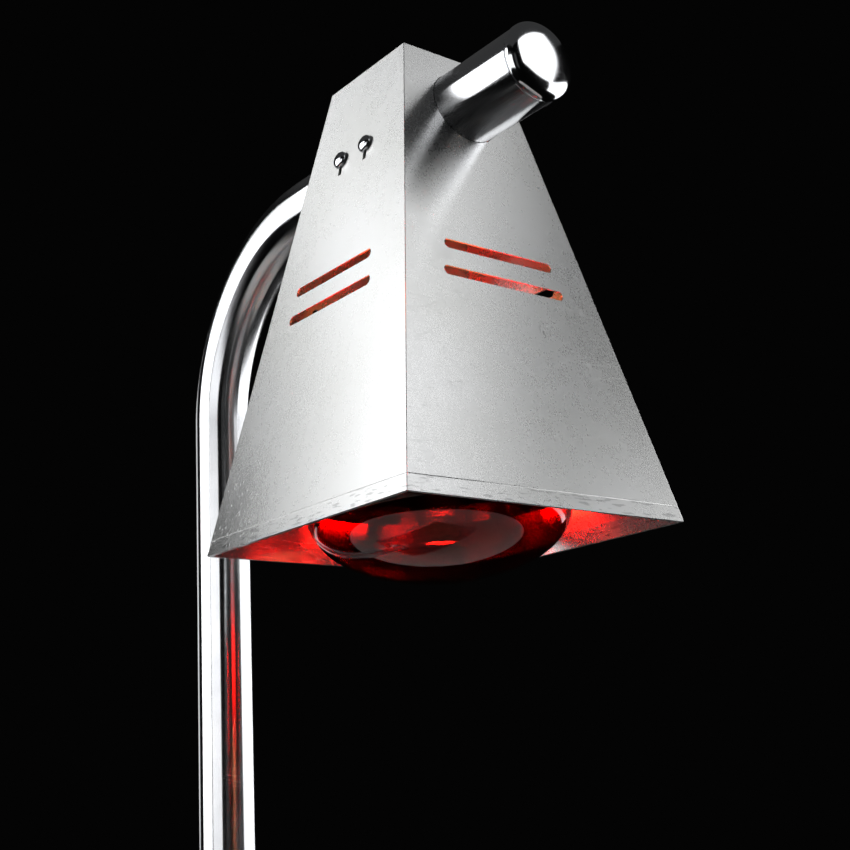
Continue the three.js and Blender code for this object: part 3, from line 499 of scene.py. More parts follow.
def settled(made, name):
    """The object with its modifiers worked into a plain mesh."""
    bpy.context.view_layer.update()
    view = bpy.context.evaluated_depsgraph_get()
    data = bpy.data.meshes.new_from_object(made.evaluated_get(view))
    data.name = name
    result = bpy.data.objects.new(name, data)
    bpy.data.objects.remove(made)
    SCENE.collection.objects.link(result)
    result.name = name
    return result


def carved(mesh, cutters, name, operation="DIFFERENCE"):
    """Cuts the meshes in cutters out of a mesh, or keeps what they share."""
    made = object_of(mesh, name + "_blank")
    tools = []
    for cutter in cutters:
        tool = object_of(cutter, "cutter")
        modifier = made.modifiers.new("cut", "BOOLEAN")
        modifier.operation = operation
        modifier.solver = "EXACT"
        modifier.object = tool
        tools.append(tool)
    result = settled(made, name)
    for tool in tools:
        bpy.data.objects.remove(tool)
    return result


def mesh_of(made):
    mesh = bmesh.new()
    mesh.from_mesh(made.data)
    bpy.data.objects.remove(made)
    return mesh


def bevelled(made, name, width, segments=2, angle=30):
    modifier = made.modifiers.new("edges", "BEVEL")
    modifier.width = width * MM
    modifier.segments = segments
    modifier.limit_method = "ANGLE"
    modifier.angle_limit = rad(angle)
    modifier.use_clamp_overlap = True
    flat = made.modifiers.new("flat_faces", "WEIGHTED_NORMAL")
    flat.mode = "FACE_AREA"
    flat.weight = 100
    for face in made.data.polygons:
        face.use_smooth = True
    return settled(made, name)


def traced(node):
    """The solid of a node as a mesh, with shared corners merged and flat faces whole."""
    mesh = bmesh.new()
    mesh.from_mesh(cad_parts[node].data)
    bmesh.ops.remove_doubles(mesh, verts=mesh.verts, dist=1e-6)
    bmesh.ops.dissolve_limit(mesh, angle_limit=rad(0.4), verts=mesh.verts, edges=mesh.edges)
    return mesh


def piece(made, body, material, nodes, sharp=40, own_shading=False):
    """Finishes a piece: its material, its shading, the body that it rides on and the nodes it stands for."""
    made.data.materials.clear()
    made.data.materials.append(material)
    if not own_shading:
        for face in made.data.polygons:
            face.use_smooth = True
        made.data.set_sharp_from_angle(angle=rad(sharp))
    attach(made, body)
    if nodes:
        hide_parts(*nodes)


def spun(profile, at, name, body, material, nodes, segments=72, ripple=None, sharp=40):
    """A turned piece, finished."""
    made = object_of(turned(profile, at, segments, ripple), name)
    piece(made, body, material, nodes, sharp)


def softened(node, name, width, body, material, segments=2, angle=30):
    """A finished piece with the shape of a node's solid and its edges bevelled, width millimetres wide."""
    made = bevelled(object_of(traced(node), name + "_blank"), name, width, segments, angle)
    piece(made, body, material, [node], own_shading=True)


# ------------------------------------------------------------------ repeated pieces


def start_tree(name, **kinds):
    """A geometry node tree with these inputs, each with its kind, and the outputs of its input node."""
    tree = bpy.data.node_groups.new(name, "GeometryNodeTree")
    sides = tree.interface
    for label, kind in {"Geometry": "Geometry", **kinds, "Material": "Material"}.items():
        sides.new_socket(label.replace("_", " "), in_out="INPUT", socket_type="NodeSocket" + kind)
    sides.new_socket("Geometry", in_out="OUTPUT", socket_type="NodeSocketGeometry")
    return tree, add(tree, "NodeGroupInput").outputs


def end_tree(tree, geometry, material):
    real = add(tree, "GeometryNodeRealizeInstances", {"Geometry": geometry})
    inputs = {"Geometry": real.outputs[0], "Material": material}
    dressed = add(tree, "GeometryNodeSetMaterial", inputs)
    add(tree, "NodeGroupOutput", {"Geometry": dressed.outputs[0]})
    return tree


def repeat_tree():
    """Sets one copy of a fastener or foot at each point, facing the way the point says, turned at random."""
    tree, given = start_tree("repeat_on_points", Part="Object", Size="Float", Turn_Seed="Int")
    facing = add(tree, "GeometryNodeInputNamedAttribute", {"Name": "facing"}, data_type="FLOAT_VECTOR")
    aligned = add(tree, "FunctionNodeAlignRotationToVector", {"Vector": facing.outputs[0]}, axis="Z")
    span = {2: 0.0, 3: 2 * math.pi, 8: given["Turn Seed"]}
    angle = add(tree, "FunctionNodeRandomValue", span, data_type="FLOAT")
    spin = add(tree, "FunctionNodeAxisAngleToRotation", {"Axis": (0, 0, 1), "Angle": angle.outputs[1]})
    turns = {"Rotation": aligned.outputs[0], "Rotate By": spin.outputs[0]}
    both = add(tree, "FunctionNodeRotateRotation", turns, rotation_space="LOCAL")
    source = add(tree, "GeometryNodeObjectInfo", {"Object": given["Part"]})
    inputs = {
        "Points": given["Geometry"],
        "Instance": source.outputs["Geometry"],
        "Rotation": both.outputs[0],
        "Scale": given["Size"],
    }
    copies = add(tree, "GeometryNodeInstanceOnPoints", inputs)
    return end_tree(tree, copies.outputs[0], given["Material"])


def coil_tree():
    """A helix of round wire: turns, coil radius, length and wire radius, all in metres."""
    sizes = dict.fromkeys(("Turns", "Coil_Radius", "Length", "Wire_Radius"), "Float")
    tree, given = start_tree("wire_coil", **sizes)
    inputs = {
        "Resolution": 14,
        "Rotations": given["Turns"],
        "Start Radius": given["Coil Radius"],
        "End Radius": given["Coil Radius"],
        "Height": given["Length"],
    }
    helix = add(tree, "GeometryNodeCurveSpiral", inputs)
    circle = {"Resolution": 8, "Radius": given["Wire Radius"]}
    section = add(tree, "GeometryNodeCurvePrimitiveCircle", circle)
    inputs = {"Curve": helix.outputs[0], "Profile Curve": section.outputs[0], "Fill Caps": True}
    wire = add(tree, "GeometryNodeCurveToMesh", inputs)
    return end_tree(tree, wire.outputs[0], given["Material"])


REPEAT = repeat_tree()
COIL = coil_tree()


def grown(host, tree, name, **values):
    """Runs a node tree on an object and returns the result as a plain mesh object."""
    modifier = host.modifiers.new("grow", "NODES")
    modifier.node_group = tree
    keys = {item.name: item.identifier for item in tree.interface.items_tree if item.in_out == "INPUT"}
    for label, value in values.items():
        modifier[keys[label.replace("_", " ")]] = value
    return settled(host, name)


def repeated(mesh, name, places, seed, body, material, nodes):
    """A finished piece: copies of one mesh at places, a list of (point, facing) pairs in millimetres."""
    part = object_of(mesh, name + "_one")
    for face in part.data.polygons:
        face.use_smooth = True
    part.data.set_sharp_from_angle(angle=rad(40))
    data = bpy.data.meshes.new(name + "_points")
    data.from_pydata([Vector(point) * MM for point, _ in places], [], [])
    facing = data.attributes.new("facing", "FLOAT_VECTOR", "POINT")
    facing.data.foreach_set("vector", [c for _, way in places for c in way])
    host = bpy.data.objects.new(name + "_points", data)
    SCENE.collection.objects.link(host)
    made = grown(host, REPEAT, name, Part=part, Size=1.0, Turn_Seed=seed, Material=material)
    bpy.data.objects.remove(part)
    piece(made, body, material, nodes, own_shading=True)


def screw_mesh(head, rise, shank, length, recess):
    """Screw that stands on Z = 0 with its shank below: an oval head, with a cross recess where asked."""
    pitch = 0.7
    rows = [(0, -length), (shank * 0.6, -length), (shank, -length + 0.8)]
    turns = int((length - 1.6) / pitch * 2)
    for k in range(turns):
        rows.append((shank - (0.28 if k % 2 else 0.0), -length + 0.8 + (k + 0.5) * pitch / 2))
    rows += [(shank, 0), (head, 0), (head, rise * 0.22)]
    for k in range(1, 9):
        angle = math.pi / 2 * k / 8
        rows.append((head * math.cos(angle) ** 0.85 if k < 8 else 0, rise * (0.22 + 0.78 * math.sin(angle))))
    mesh = turned(rows, segments=40)
    if not recess:
        return mesh
    deep = rise * 0.7
    arms = [
        box_mesh((-head * 0.52, -head * 0.10, rise - deep), (head * 0.52, head * 0.10, rise + 1), turn)
        for turn in (Matrix(), Matrix.Rotation(rad(90), 4, "Z"))
    ]
    return mesh_of(carved(mesh, arms, "screw"))


def nut_mesh(across, bore, thick):
    """Hexagon nut with its corners chamfered on both faces, standing on Z = 0."""
    blank = lofted([hexagon_loop(across, 0), hexagon_loop(across, thick)])
    corner = across / math.sqrt(3)
    flat = across / 2
    form = [(0, 0), (flat * 0.97, 0), (corner + 0.1, thick * 0.2)]
    form += [(corner + 0.1, thick * 0.8), (flat * 0.97, thick), (0, thick)]
    shaped = mesh_of(carved(blank, [turned(form)], "nut", "INTERSECT"))
    return mesh_of(carved(shaped, [turned([(0, -1), (bore, -1), (bore, thick + 1), (0, thick + 1)])], "nut"))


# ------------------------------------------------------------------ base


def tray_loops():
    """The housing's outline at each level: down inside from its ceiling, round its rim and up to its top."""
    half_x = (BASE_HIGH.x - BASE_LOW.x) / 2
    half_y = (BASE_HIGH.y - BASE_LOW.y) / 2
    wall, corner, ease = 1.2, 14.0, 3.0
    loops = []

    def loop(inset, z, radius):
        points = rounded_loop(half_x - inset, half_y - inset, max(radius, 1.0))
        loops.append([(x, BASE_MIDDLE.y + y, z) for x, y in points])

    loop(wall + ease - 1.0, BASE_HIGH.z - wall, corner - wall - ease)
    loop(wall, BASE_HIGH.z - wall - ease + 1.0, corner - wall)
    loop(wall, BASE_LOW.z + 0.3, corner - wall)
    loop(wall - 0.3, BASE_LOW.z, corner - wall + 0.3)
    loop(0.3, BASE_LOW.z, corner - 0.3)
    loop(0, BASE_LOW.z + 0.3, corner)
    for k in range(7):
        angle = rad(90) * k / 6
        inset = ease * (1 - math.cos(angle))
        loop(inset, BASE_HIGH.z - ease * (1 - math.sin(angle)), corner - inset)
    return loops


def build_base():
    """Pressed housing, bottom plate, feet and what is fixed inside."""
    start, end = low("switch_frame"), high("switch_frame")
    lip = 1.2
    corners = (start.x + lip, BASE_LOW.y - 5, start.z + lip), (end.x - lip, BASE_LOW.y + 5, end.z - lip)
    switch_hole = box_mesh(*corners)
    gland_at = placed((0, BASE_HIGH.y - 5, middle("cable_gland").z)) @ ALONG_Y
    gland_hole = turned([(0, 0), (8.2, 0), (8.2, 10), (0, 10)], gland_at)
    around_post = POST_RADIUS + 0.3
    post_at = placed((0, POST_Y, BASE_HIGH.z - 6))
    post_hole = turned([(0, 0), (around_post, 0), (around_post, 10), (0, 10)], post_at)
    housing = carved(lofted(tray_loops()), [switch_hole, gland_hole, post_hole], "base_shell")
    piece(housing, "stand", BASE_STEEL, ["base_housing"], sharp=30)

    start, end = low("base_cover"), high("base_cover")
    half_x, half_y = (end.x - start.x) / 2, (end.y - start.y) / 2
    loops = []
    for inset, z in ((0.3, start.z), (0, start.z + 0.3), (0, end.z - 0.3), (0.3, end.z)):
        points = rounded_loop(half_x - inset, half_y - inset, 12.5)
        loops.append([(x, BASE_MIDDLE.y + y, z) for x, y in points])
    cover = object_of(lofted(loops), "base_bottom_plate")
    piece(cover, "stand", COVER_STEEL, ["base_cover"], sharp=30)

    # Rubber feet with a rounded tread and a recess for the screw, and the screws up inside them.
    foot = [(5.2, 0), (11, 0), (12, 1), (13, 9.7), (2.4, 9.7), (2.4, 5), (5.2, 5), (5.2, 0)]
    tread = turned(eased(foot, 0.8), segments=48)
    spots = [middle("foot_" + name) for name in FEET]
    places = [((p.x, p.y, 0), (0, 0, 1)) for p in spots]
    nodes = ["foot_" + name for name in FEET]
    repeated(tread, "rubber_feet", places, 1, "stand", RUBBER, nodes)
    length = 11
    top = high("foot_screw_front_left").z - length
    screw = screw_mesh(4.0, 2.4, 2.1, length, True)
    places = [((p.x, p.y, top), (0, 0, -1)) for p in spots]
    nodes = ["foot_screw_" + name for name in FEET]
    repeated(screw, "foot_screws", places, 3, "stand", ZINC, nodes)

    # Terminal block, washer and locknut.
    softened("terminal_block", "connector_block", 0.6, "stand", CREAM_NYLON)
    start, end = low("post_washer"), high("post_washer")
    inner, outer = 16.2, (end.x - start.x) / 2
    ring = [(inner, start.z), (outer, start.z), (outer, end.z), (inner, end.z), (inner, start.z)]
    post_at = placed((0, POST_Y, 0))
    spun(eased(ring, 0.4), post_at, "flat_washer", "stand", ZINC, ["post_washer"])
    nut_low = low("post_locknut").z
    nut = nut_mesh(44, 16.0, high("post_locknut").z - nut_low)
    nut.transform(placed((0, POST_Y, nut_low)))
    piece(object_of(nut, "post_nut"), "stand", BRASS, ["post_locknut"])


def build_switch():
    softened("switch_frame", "switch_surround", 0.5, "stand", GLOSSY, 3)
    softened("switch_rocker", "switch_key", 0.6, "rocker", GLOSSY, 3, 15)


def build_gland():
    """Cable gland: a hexagon flange against the rear wall and a ribbed dome nut, with nothing through it."""
    back = BASE_HIGH.y
    across = 22
    spot = middle("cable_gland")
    at = placed((0, back, spot.z)) @ ALONG_Y
    proud = high("cable_gland").y - back

    collar = lofted([hexagon_loop(across, 0.3), hexagon_loop(across, 5.2)])
    corner = across / math.sqrt(3)
    form = [(0, 0.3), (corner + 0.1, 0.3), (corner + 0.1, 4.2), (10.6, 5.2), (0, 5.2)]
    shaped = mesh_of(carved(collar, [turned(form)], "collar", "INTERSECT"))
    shaped.transform(at)
    collar = carved(shaped, [turned([(0, -1), (7.9, -1), (7.9, 6), (0, 6)], at)], "gland_collar")
    piece(collar, "stand", NYLON, ["cable_gland"])

    def ribs(angle, height):
        if not 6.0 < height < 10.6:
            return 0.0
        return 0.32 * max(0.0, math.cos(14 * angle)) ** 0.5

    nut = [(5.0, 5.4), (9.2, 5.4), (9.25, 6.1), (9.25, 10.5), (9.0, 11.0), (8.6, 12.6), (7.2, 14.4)]
    nut += [(5.4, proud), (3.6, proud), (3.6, 9), (5.0, 8), (5.0, 5.4)]
    spun(nut, at, "gland_dome_nut", "stand", NYLON, [], 112, ribs)
    thread = [(5.0, -12), (7.9, -12), (7.9, 0.2), (5.0, 0.2), (5.0, -12)]
    spun(eased(thread, 0.3), at, "gland_stem", "stand", NYLON, [])
    nut = nut_mesh(across, 8.2, 6)
    nut.transform(placed((0, low("gland_locknut").y, spot.z)) @ ALONG_Y)
    piece(object_of(nut, "gland_back_nut"), "stand", NYLON, ["gland_locknut"])


# ------------------------------------------------------------------ post


def build_post():
    """Bent tube. Its centreline rises from the base, turns a quarter circle forward and ends level."""
    bend, wall = 102.2, 1.5
    foot = low("post_tube").z
    stations = [(Vector((0, POST_Y, z)), 0.0) for z in (foot, (foot + SLEEVE_Z - bend) / 2)]
    for k in range(49):
        turn = rad(90) * k / 48
        y = POST_Y - bend * (1 - math.cos(turn))
        stations.append((Vector((0, y, SLEEVE_Z - bend * (1 - math.sin(turn)))), turn))
    stations.append((Vector((0, low("post_tube").y, SLEEVE_Z)), rad(90)))
    mesh = bmesh.new()
    along_layer = mesh.verts.layers.float_vector.new("along")
    rows = []
    sides = 96

    def ring(point, turn, radius, along=0.0):
        across = Vector((1, 0, 0))
        up = Vector((0, math.cos(turn), math.sin(turn)))
        ahead = Vector((0, -math.sin(turn), math.cos(turn)))
        row = []
        for k in range(sides):
            angle = 2 * math.pi * k / sides
            spot = point + ahead * along + radius * (math.cos(angle) * across + math.sin(angle) * up)
            row.append(mesh.verts.new(spot * MM))
            row[-1][along_layer] = ahead
        rows.append(row)

    ring(*stations[0], POST_RADIUS - 0.4)
    ring(*stations[0], POST_RADIUS, 0.4)
    for point, turn in stations[1:-1]:
        ring(point, turn, POST_RADIUS)
    ring(*stations[-1], POST_RADIUS, -0.4)
    ring(*stations[-1], POST_RADIUS - 0.4)
    for point, turn in stations[::-1]:
        ring(point, turn, POST_RADIUS - wall)
    for first, second in zip(rows, rows[1:] + rows[:1]):
        for k in range(sides):
            n = (k + 1) % sides
            mesh.faces.new((first[k], first[n], second[n], second[k]))
    bmesh.ops.recalc_face_normals(mesh, faces=mesh.faces)
    piece(object_of(mesh, "post"), "stand", POST_CHROME, ["post_tube"], sharp=50)

    # Cover ring at the post's foot: a flared skirt with a rolled rim.
    bore, rim = POST_RADIUS + 0.1, high("post_flange").x
    foot, top = low("post_flange").z, high("post_flange").z
    skirt = [(bore, foot), (rim - 0.5, foot), (rim, foot + 0.6), (rim - 0.2, foot + 1.8)]
    crown = bore + 2
    for k in range(13):
        angle = rad(90) * k / 12
        out = crown + (rim - 1 - crown) * (1 - math.sin(angle))
        skirt.append((out, top - (top - foot - 2.2) * math.cos(angle)))
    skirt += [(bore + 0.4, top), (bore, top - 0.4), (bore, foot)]
    at = placed((0, POST_Y, 0))
    spun(skirt, at, "post_skirt", "stand", CAP_CHROME, ["post_flange"], 96)

    head_rise = 2.4
    stop = screw_mesh(3.8, head_rise, 1.7, 5.6, True)
    seat = (0, middle("tilt_stop_screw").y, low("tilt_stop_screw").z + head_rise)
    stop.transform(placed(seat) @ Matrix.Rotation(rad(180), 4, "X"))
    piece(object_of(stop, "stop_screw"), "stand", SCREW_CHROME, ["tilt_stop_screw"])


# ------------------------------------------------------------------ shade


def hem_groove():
    """Cutter for the shallow line round the shade where the hem's turned-in edge ends."""
    bottom, top, depth, clear = 7.2, 7.75, 0.4, 3

    def square(z, inset, height):
        half = SHADE_HALF - SHADE_SLOPE * z - inset
        corners = (-1, -1), (1, -1), (1, 1), (-1, 1)
        return [(x * half, SHADE.y + y * half, SHADE.z + height) for x, y in corners]

    outer = lofted([square(bottom, -clear, bottom), square(top, -clear, top)])
    inner = lofted([square(bottom, depth, bottom - 1), square(top, depth, top + 1)])
    return mesh_of(carved(outer, [inner], "ring"))


def build_shade():
    """Two folded halves: each wraps one corner in a small bend radius, and they part along the two seams."""
    for side, name in ((-1, "left"), (1, "right")):
        mesh = traced("shade_half_" + name)
        folds = []
        for edge in mesh.edges:
            a, b = (v.co / MM - SHADE for v in edge.verts)
            upright = abs(a.z - b.z) > 3
            on_corner = all(abs(p.x + p.y) < 0.35 and p.x * side > 5 for p in (a, b))
            if upright and on_corner:
                folds.append(edge)
        bmesh.ops.bevel(mesh, geom=folds, offset=1.1 * MM, segments=4, profile=0.5, affect="EDGES")
        made = carved(mesh, [hem_groove()], "half")
        made = bevelled(made, "shade_wall_" + name, 0.32)
        piece(made, "head", SHEETS[name], ["shade_half_" + name], own_shading=True)
    softened("shade_top", "shade_lid", 0.3, "head", SHEETS["right"], 3)


def build_sleeve():
    front, rear = low("sleeve_tube").y, high("sleeve_tube").y
    axis = placed((0, 0, SLEEVE_Z)) @ ALONG_Y
    bore = SLEEVE_BORE
    wall = [(bore, front), (SLEEVE_RADIUS, front), (SLEEVE_RADIUS, rear), (bore, rear), (bore, front)]
    tube = turned(eased(wall, 0.35), axis, 128)
    # The arc slot under the rear end, in which the post's stop screw rides.
    stop = middle("tilt_stop_screw")
    sweep = rad(35 + 6.3)
    inner, outer = [], []
    for k in range(25):
        angle = rad(-90) - sweep + 2 * sweep * k / 24
        inner.append((bore - 2, angle))
        outer.append((SLEEVE_RADIUS + 2, angle))
    outline = [(r * math.cos(a), r * math.sin(a)) for r, a in inner + outer[::-1]]
    loops = [[(x, y, z) for x, z in outline] for y in (stop.y - 2, stop.y + 2)]
    slot = lofted(loops, placed((0, 0, SLEEVE_Z)))
    hole_at = placed((0, SHADE.y, SLEEVE_Z - SLEEVE_RADIUS - 3))
    hole = turned([(0, 0), (5, 0), (5, 8), (0, 8)], hole_at, 32)
    made = carved(tube, [slot, hole], "sleeve")
    along = made.data.attributes.new("along", "FLOAT_VECTOR", "POINT")
    along.data.foreach_set("vector", [0.0, 1.0, 0.0] * len(made.data.vertices))
    piece(made, "head", SLEEVE_CHROME, ["sleeve_tube"], sharp=35)

    # End cap: a rim a little wider than the sleeve, a soft shoulder and a low dome.
    cap_front = low("end_cap").y
    rim = high("end_cap").x
    total = front - 0.3 - cap_front
    shoulder = 1.5
    profile = [(0, -9.7), (bore - 0.6, -9.7), (bore - 0.1, -9), (bore - 0.1, 0.3)]
    profile += [(rim - 0.35, 0.3), (rim, 0.75), (rim, shoulder)]
    for k in range(1, 25):
        angle = rad(90) * k / 24
        radius = rim * math.cos(angle) ** 0.5 if k < 24 else 0
        profile.append((radius, shoulder + (total + 0.3 - shoulder) * math.sin(angle)))
    at = placed((0, front, SLEEVE_Z)) @ FACING_FRONT
    spun(profile, at, "sleeve_cap", "head", CAP_CHROME, ["end_cap"], 128, sharp=60)

    for name in ("front", "rear"):
        node = "bush_" + name
        inner, outer = POST_RADIUS + 0.1, bore - 0.1
        start, end = low(node).y, high(node).y
        shape = [(inner, start), (outer, start), (outer, end), (inner, end), (inner, start)]
        spun(eased(shape, 0.4), axis, "bearing_" + name, "head", BRONZE, [node], 96)


def build_mounting():
    """Bracket, saddles and every screw and nut of the head."""
    for node, name, width in (
        ("mount_bracket", "bracket_channel", 0.3),
        ("saddle_front", "sleeve_saddle_front", 0.5),
        ("saddle_rear", "sleeve_saddle_rear", 0.5),
    ):
        softened(node, name, width, "head", BRACKET_STEEL)

    lean = math.atan(SHADE_SLOPE)
    level = 188
    shade_sheet, gap, bracket_sheet, nut_height = 1, 0.6, 1.5, 3.2
    behind = shade_sheet + gap + bracket_sheet + nut_height
    heads, nuts = [], []
    screw_nodes, nut_nodes = [], []
    for name, side in (("left", -1), ("right", 1)):
        for end in ("front", "rear"):
            node = f"shade_screw_{name}_{end}"
            way = Vector((side * math.cos(lean), 0, math.sin(lean)))
            half = SHADE_HALF - math.tan(lean) * level
            seat = Vector((side * half, middle(node).y, SHADE.z + level))
            heads.append((seat + way * 0.3, way))
            nuts.append((seat - way * behind, way))
            screw_nodes.append(node)
            nut_nodes.append(f"shade_nut_{name}_{end}")
    screw = screw_mesh(4.4, 2.9, 1.9, 8, False)
    repeated(screw, "shade_screws", heads, 5, "head", SCREW_CHROME, screw_nodes)
    nut = nut_mesh(7, 2.2, nut_height)
    repeated(nut, "shade_nuts", nuts, 8, "head", ZINC, nut_nodes)

    rise = 2.2
    saddle_nodes = ["saddle_screw_front", "saddle_screw_rear"]
    saddle_places = [((0, middle(n).y, low(n).z + rise), (0, 0, -1)) for n in saddle_nodes]
    holder_nodes = ["holder_screw_left", "holder_screw_right"]
    holder_places = [((middle(n).x, SHADE.y, high(n).z - rise), (0, 0, 1)) for n in holder_nodes]
    for name, nodes, places, shank, seed in (
        ("saddle_screws", saddle_nodes, saddle_places, 1.45, 11),
        ("holder_screws", holder_nodes, holder_places, 1.7, 13),
    ):
        length = high(nodes[0]).z - low(nodes[0]).z - rise
        screw = screw_mesh(3.4, rise, shank, length, True)
        repeated(screw, name, places, seed, "head", ZINC, nodes)


def build_holder():
    """Porcelain lampholder with its screw shell and sprung contact."""
    at = placed(SHADE)
    mouth = low("holder_body").z - SHADE.z
    top, bore, screw_out = 171, 14.6, 17
    body = [(bore, mouth + 1.2), (bore + 0.8, mouth), (19, mouth), (20.6, mouth + 2), (20.6, mouth + 8)]
    body += [(20.1, mouth + 9), (20.1, mouth + 11), (21, mouth + 12.5), (21, top - 12)]
    body += [(23, top - 10), (23, top), (0, top), (0, top - 16), (bore, top - 16), (bore, mouth + 1.2)]
    mesh = turned(eased(body, 0.8), at, 80)
    sides = {"left": -1, "right": 1}
    tools = []
    for side in sides.values():
        hole_at = placed(SHADE + Vector((side * screw_out, 0, top - 9)))
        tools.append(turned([(0, 0), (2, 0), (2, 12), (0, 12)], hole_at, 24))
    made = carved(mesh, tools, "lampholder")
    piece(made, "head", PORCELAIN, ["holder_body"], sharp=35)
    pad = [(2, top - 0.5), (4.4, top - 0.5), (4.4, 175.7), (2, 175.7), (2, top - 0.5)]
    for name, side in sides.items():
        pad_at = placed(SHADE + Vector((side * screw_out, 0, 0)))
        spun(eased(pad, 0.4), pad_at, "holder_pad_" + name, "head", PORCELAIN, [], 40)

    def thread(angle, height):
        return 0.32 * math.sin(2 * math.pi * height / THREAD_PITCH - angle)

    start, stop = 126.0, 149.0
    rows = int((stop - start) / 0.45)
    heights = [start + (stop - start) * k / rows for k in range(rows + 1)]
    shell = [(13.85, h) for h in heights] + [(13.55, h) for h in heights[::-1]]
    shell.append(shell[0])
    spun(shell, at, "screw_shell", "head", BRASS, ["holder_shell"], 72, thread)
    softened("holder_contact", "sprung_contact", 0.15, "head", BRASS)
    ring = [(3.5, 185.45), (6.4, 185.45), (6.4, 187.0), (4.7, 187.0), (4.7, 190.0)]
    ring += [(6.4, 190.0), (6.4, 191.2), (3.5, 191.2), (3.5, 185.45)]
    ring = eased(ring, 0.4)
    spun(ring, at, "wire_bushing", "head", SILICONE, ["wire_grommet"], 48)


# ------------------------------------------------------------------ bulb

BULB_WIDE, BULB_LOW_Z, BULB_WIDEST = 62.5, -20.0, 12.0
NECK, NECK_Z, CAP_LOW, CAP_HIGH, CAP_RADIUS = 19.5, 106.0, 124.0, 145.0, 13.1


def glass_line(inset):
    """Outline of the bulb's glass from the middle of its face up to its neck, moved in by inset."""
    wide = BULB_WIDE - inset
    points = []
    for k in range(33):
        angle = rad(-90 + 90 * k / 32)
        z = BULB_WIDEST + (BULB_WIDEST - BULB_LOW_Z - inset) * math.sin(angle)
        points.append((wide * math.cos(angle) if k else 0.0, z))
    ends = (wide, BULB_WIDEST), (wide, 46.0), (NECK + 18 - inset, 70.0), (NECK - inset, NECK_Z)
    a, b, c, d = (Vector(p) for p in ends)
    for k in range(1, 33):
        t = k / 32
        spot = (1 - t) ** 3 * a + 3 * t * (1 - t) ** 2 * b + 3 * t * t * (1 - t) * c + t**3 * d
        points.append((spot.x, spot.y))
    narrow = CAP_RADIUS - 1 - inset
    for t in (0.25, 0.5, 0.75, 1.0):
        ease = t * t * (3 - 2 * t)
        radius = NECK - inset + (narrow - NECK + inset) * ease
        points.append((radius, NECK_Z + (CAP_LOW - 2 - NECK_Z) * t))
    points.append((narrow, CAP_LOW + 12))
    return points


def build_bulb():
    at = placed(SHADE)
    thick = 1.4
    profile = glass_line(0) + glass_line(thick)[::-1]
    made = object_of(turned(profile, at, 112), "bulb_envelope")
    made.visible_shadow = False
    piece(made, "bulb", RUBY, ["bulb_glass"], sharp=60)

    # Mirror coat inside the cone, from the widest part up to the neck.
    first, second = (
        [p for p in glass_line(thick + behind) if BULB_WIDEST + 4 <= p[1] <= CAP_LOW - 6]
        for behind in (0.1, 0.35)
    )
    coat = first + second[::-1] + first[:1]

    def rings(angle, height):
        return 0.22 * math.sin(height * 1.15) * max(0.0, min(1.0, (height - 40) / 20))

    spun(coat, at, "bulb_mirror", "bulb", MIRROR, [], 112, rings, 80)

    # Screw cap with a rolled thread.
    def thread(angle, height):
        fade = max(0.0, min(1.0, (height - CAP_LOW - 1) / 2, (CAP_HIGH - 1 - height) / 2))
        return fade * 0.38 * (math.sin(2 * math.pi * height / THREAD_PITCH - angle) - 1)

    rows = 48
    heights = [CAP_LOW + (CAP_HIGH - CAP_LOW) * k / rows for k in range(rows + 1)]
    cap = [(CAP_RADIUS, h) for h in heights] + [(CAP_RADIUS - 0.4, h) for h in heights[::-1]]
    cap.append(cap[0])
    spun(cap, at, "bulb_screw_cap", "bulb", BRASS, ["bulb_cap"], 72, thread, 60)
    bead = [(0, 141), (12.3, 141), (12.3, 145), (11.6, 145.4), (6.0, 147.6), (5.4, 148.1), (0, 148.1)]
    bead = eased(bead, 0.4)
    spun(bead, at, "bulb_end_glass", "bulb", BLACK_GLASS, ["bulb_insulator"], 48)
    tip = [(0, 148.4), (4.6, 148.4), (4.6, 148.9), (3.6, 149.7), (0, 150)]
    tip = eased(tip, 0.4)
    spun(tip, at, "bulb_end_contact", "bulb_travel", SOLDER, ["bulb_tip"], 40)

    # Filament: a fine coil that bows down between its two supports.
    host = object_of(bmesh.new(), "coil_host")
    length = 20.4
    sizes = {"Turns": 24.0, "Coil_Radius": 1.1 * MM, "Length": length * MM, "Wire_Radius": 0.26 * MM}
    coil = grown(host, COIL, "filament_coil", **sizes, Material=GLOW)
    for vertex in coil.data.vertices:
        t = vertex.co.z / MM / length
        bow = math.sin(math.pi * min(1.0, max(0.0, t)))
        across, up = vertex.co.x / MM, vertex.co.y / MM
        spot = Vector((-length / 2 + length * t, 3 * bow + across, 57 - 5.5 * bow + up))
        vertex.co = (SHADE + spot) * MM
    piece(coil, "bulb", GLOW, ["bulb_filament"], sharp=80)


build_base()
build_switch()
build_gland()
build_post()
build_shade()
build_sleeve()
build_mounting()
build_holder()
build_bulb()

# The solids that stay as they are.
for names, material in (
    (["bulb_stem"], CLEAR),
    (["wire_stand_live", "wire_switch_live", "wire_head_live"], LIVE),
    (["wire_stand_neutral", "wire_switch_neutral", "wire_head_neutral"], NEUTRAL),
    (["splice_live", "splice_neutral"], CREAM_NYLON),
):
    for node in names:
        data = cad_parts[node].data
        data.materials.clear()
        data.materials.append(material)

# ------------------------------------------------------------------ studio


def floor_material():
    """Painted board: pale, matt and very slightly uneven, so that it takes soft shadows."""
    made = Finish("pale_studio_floor", 0.6)
    made.tones("#D6D5D2", "#CFCECB", 400)
    made.smears(200, 0.05)
    return made.material


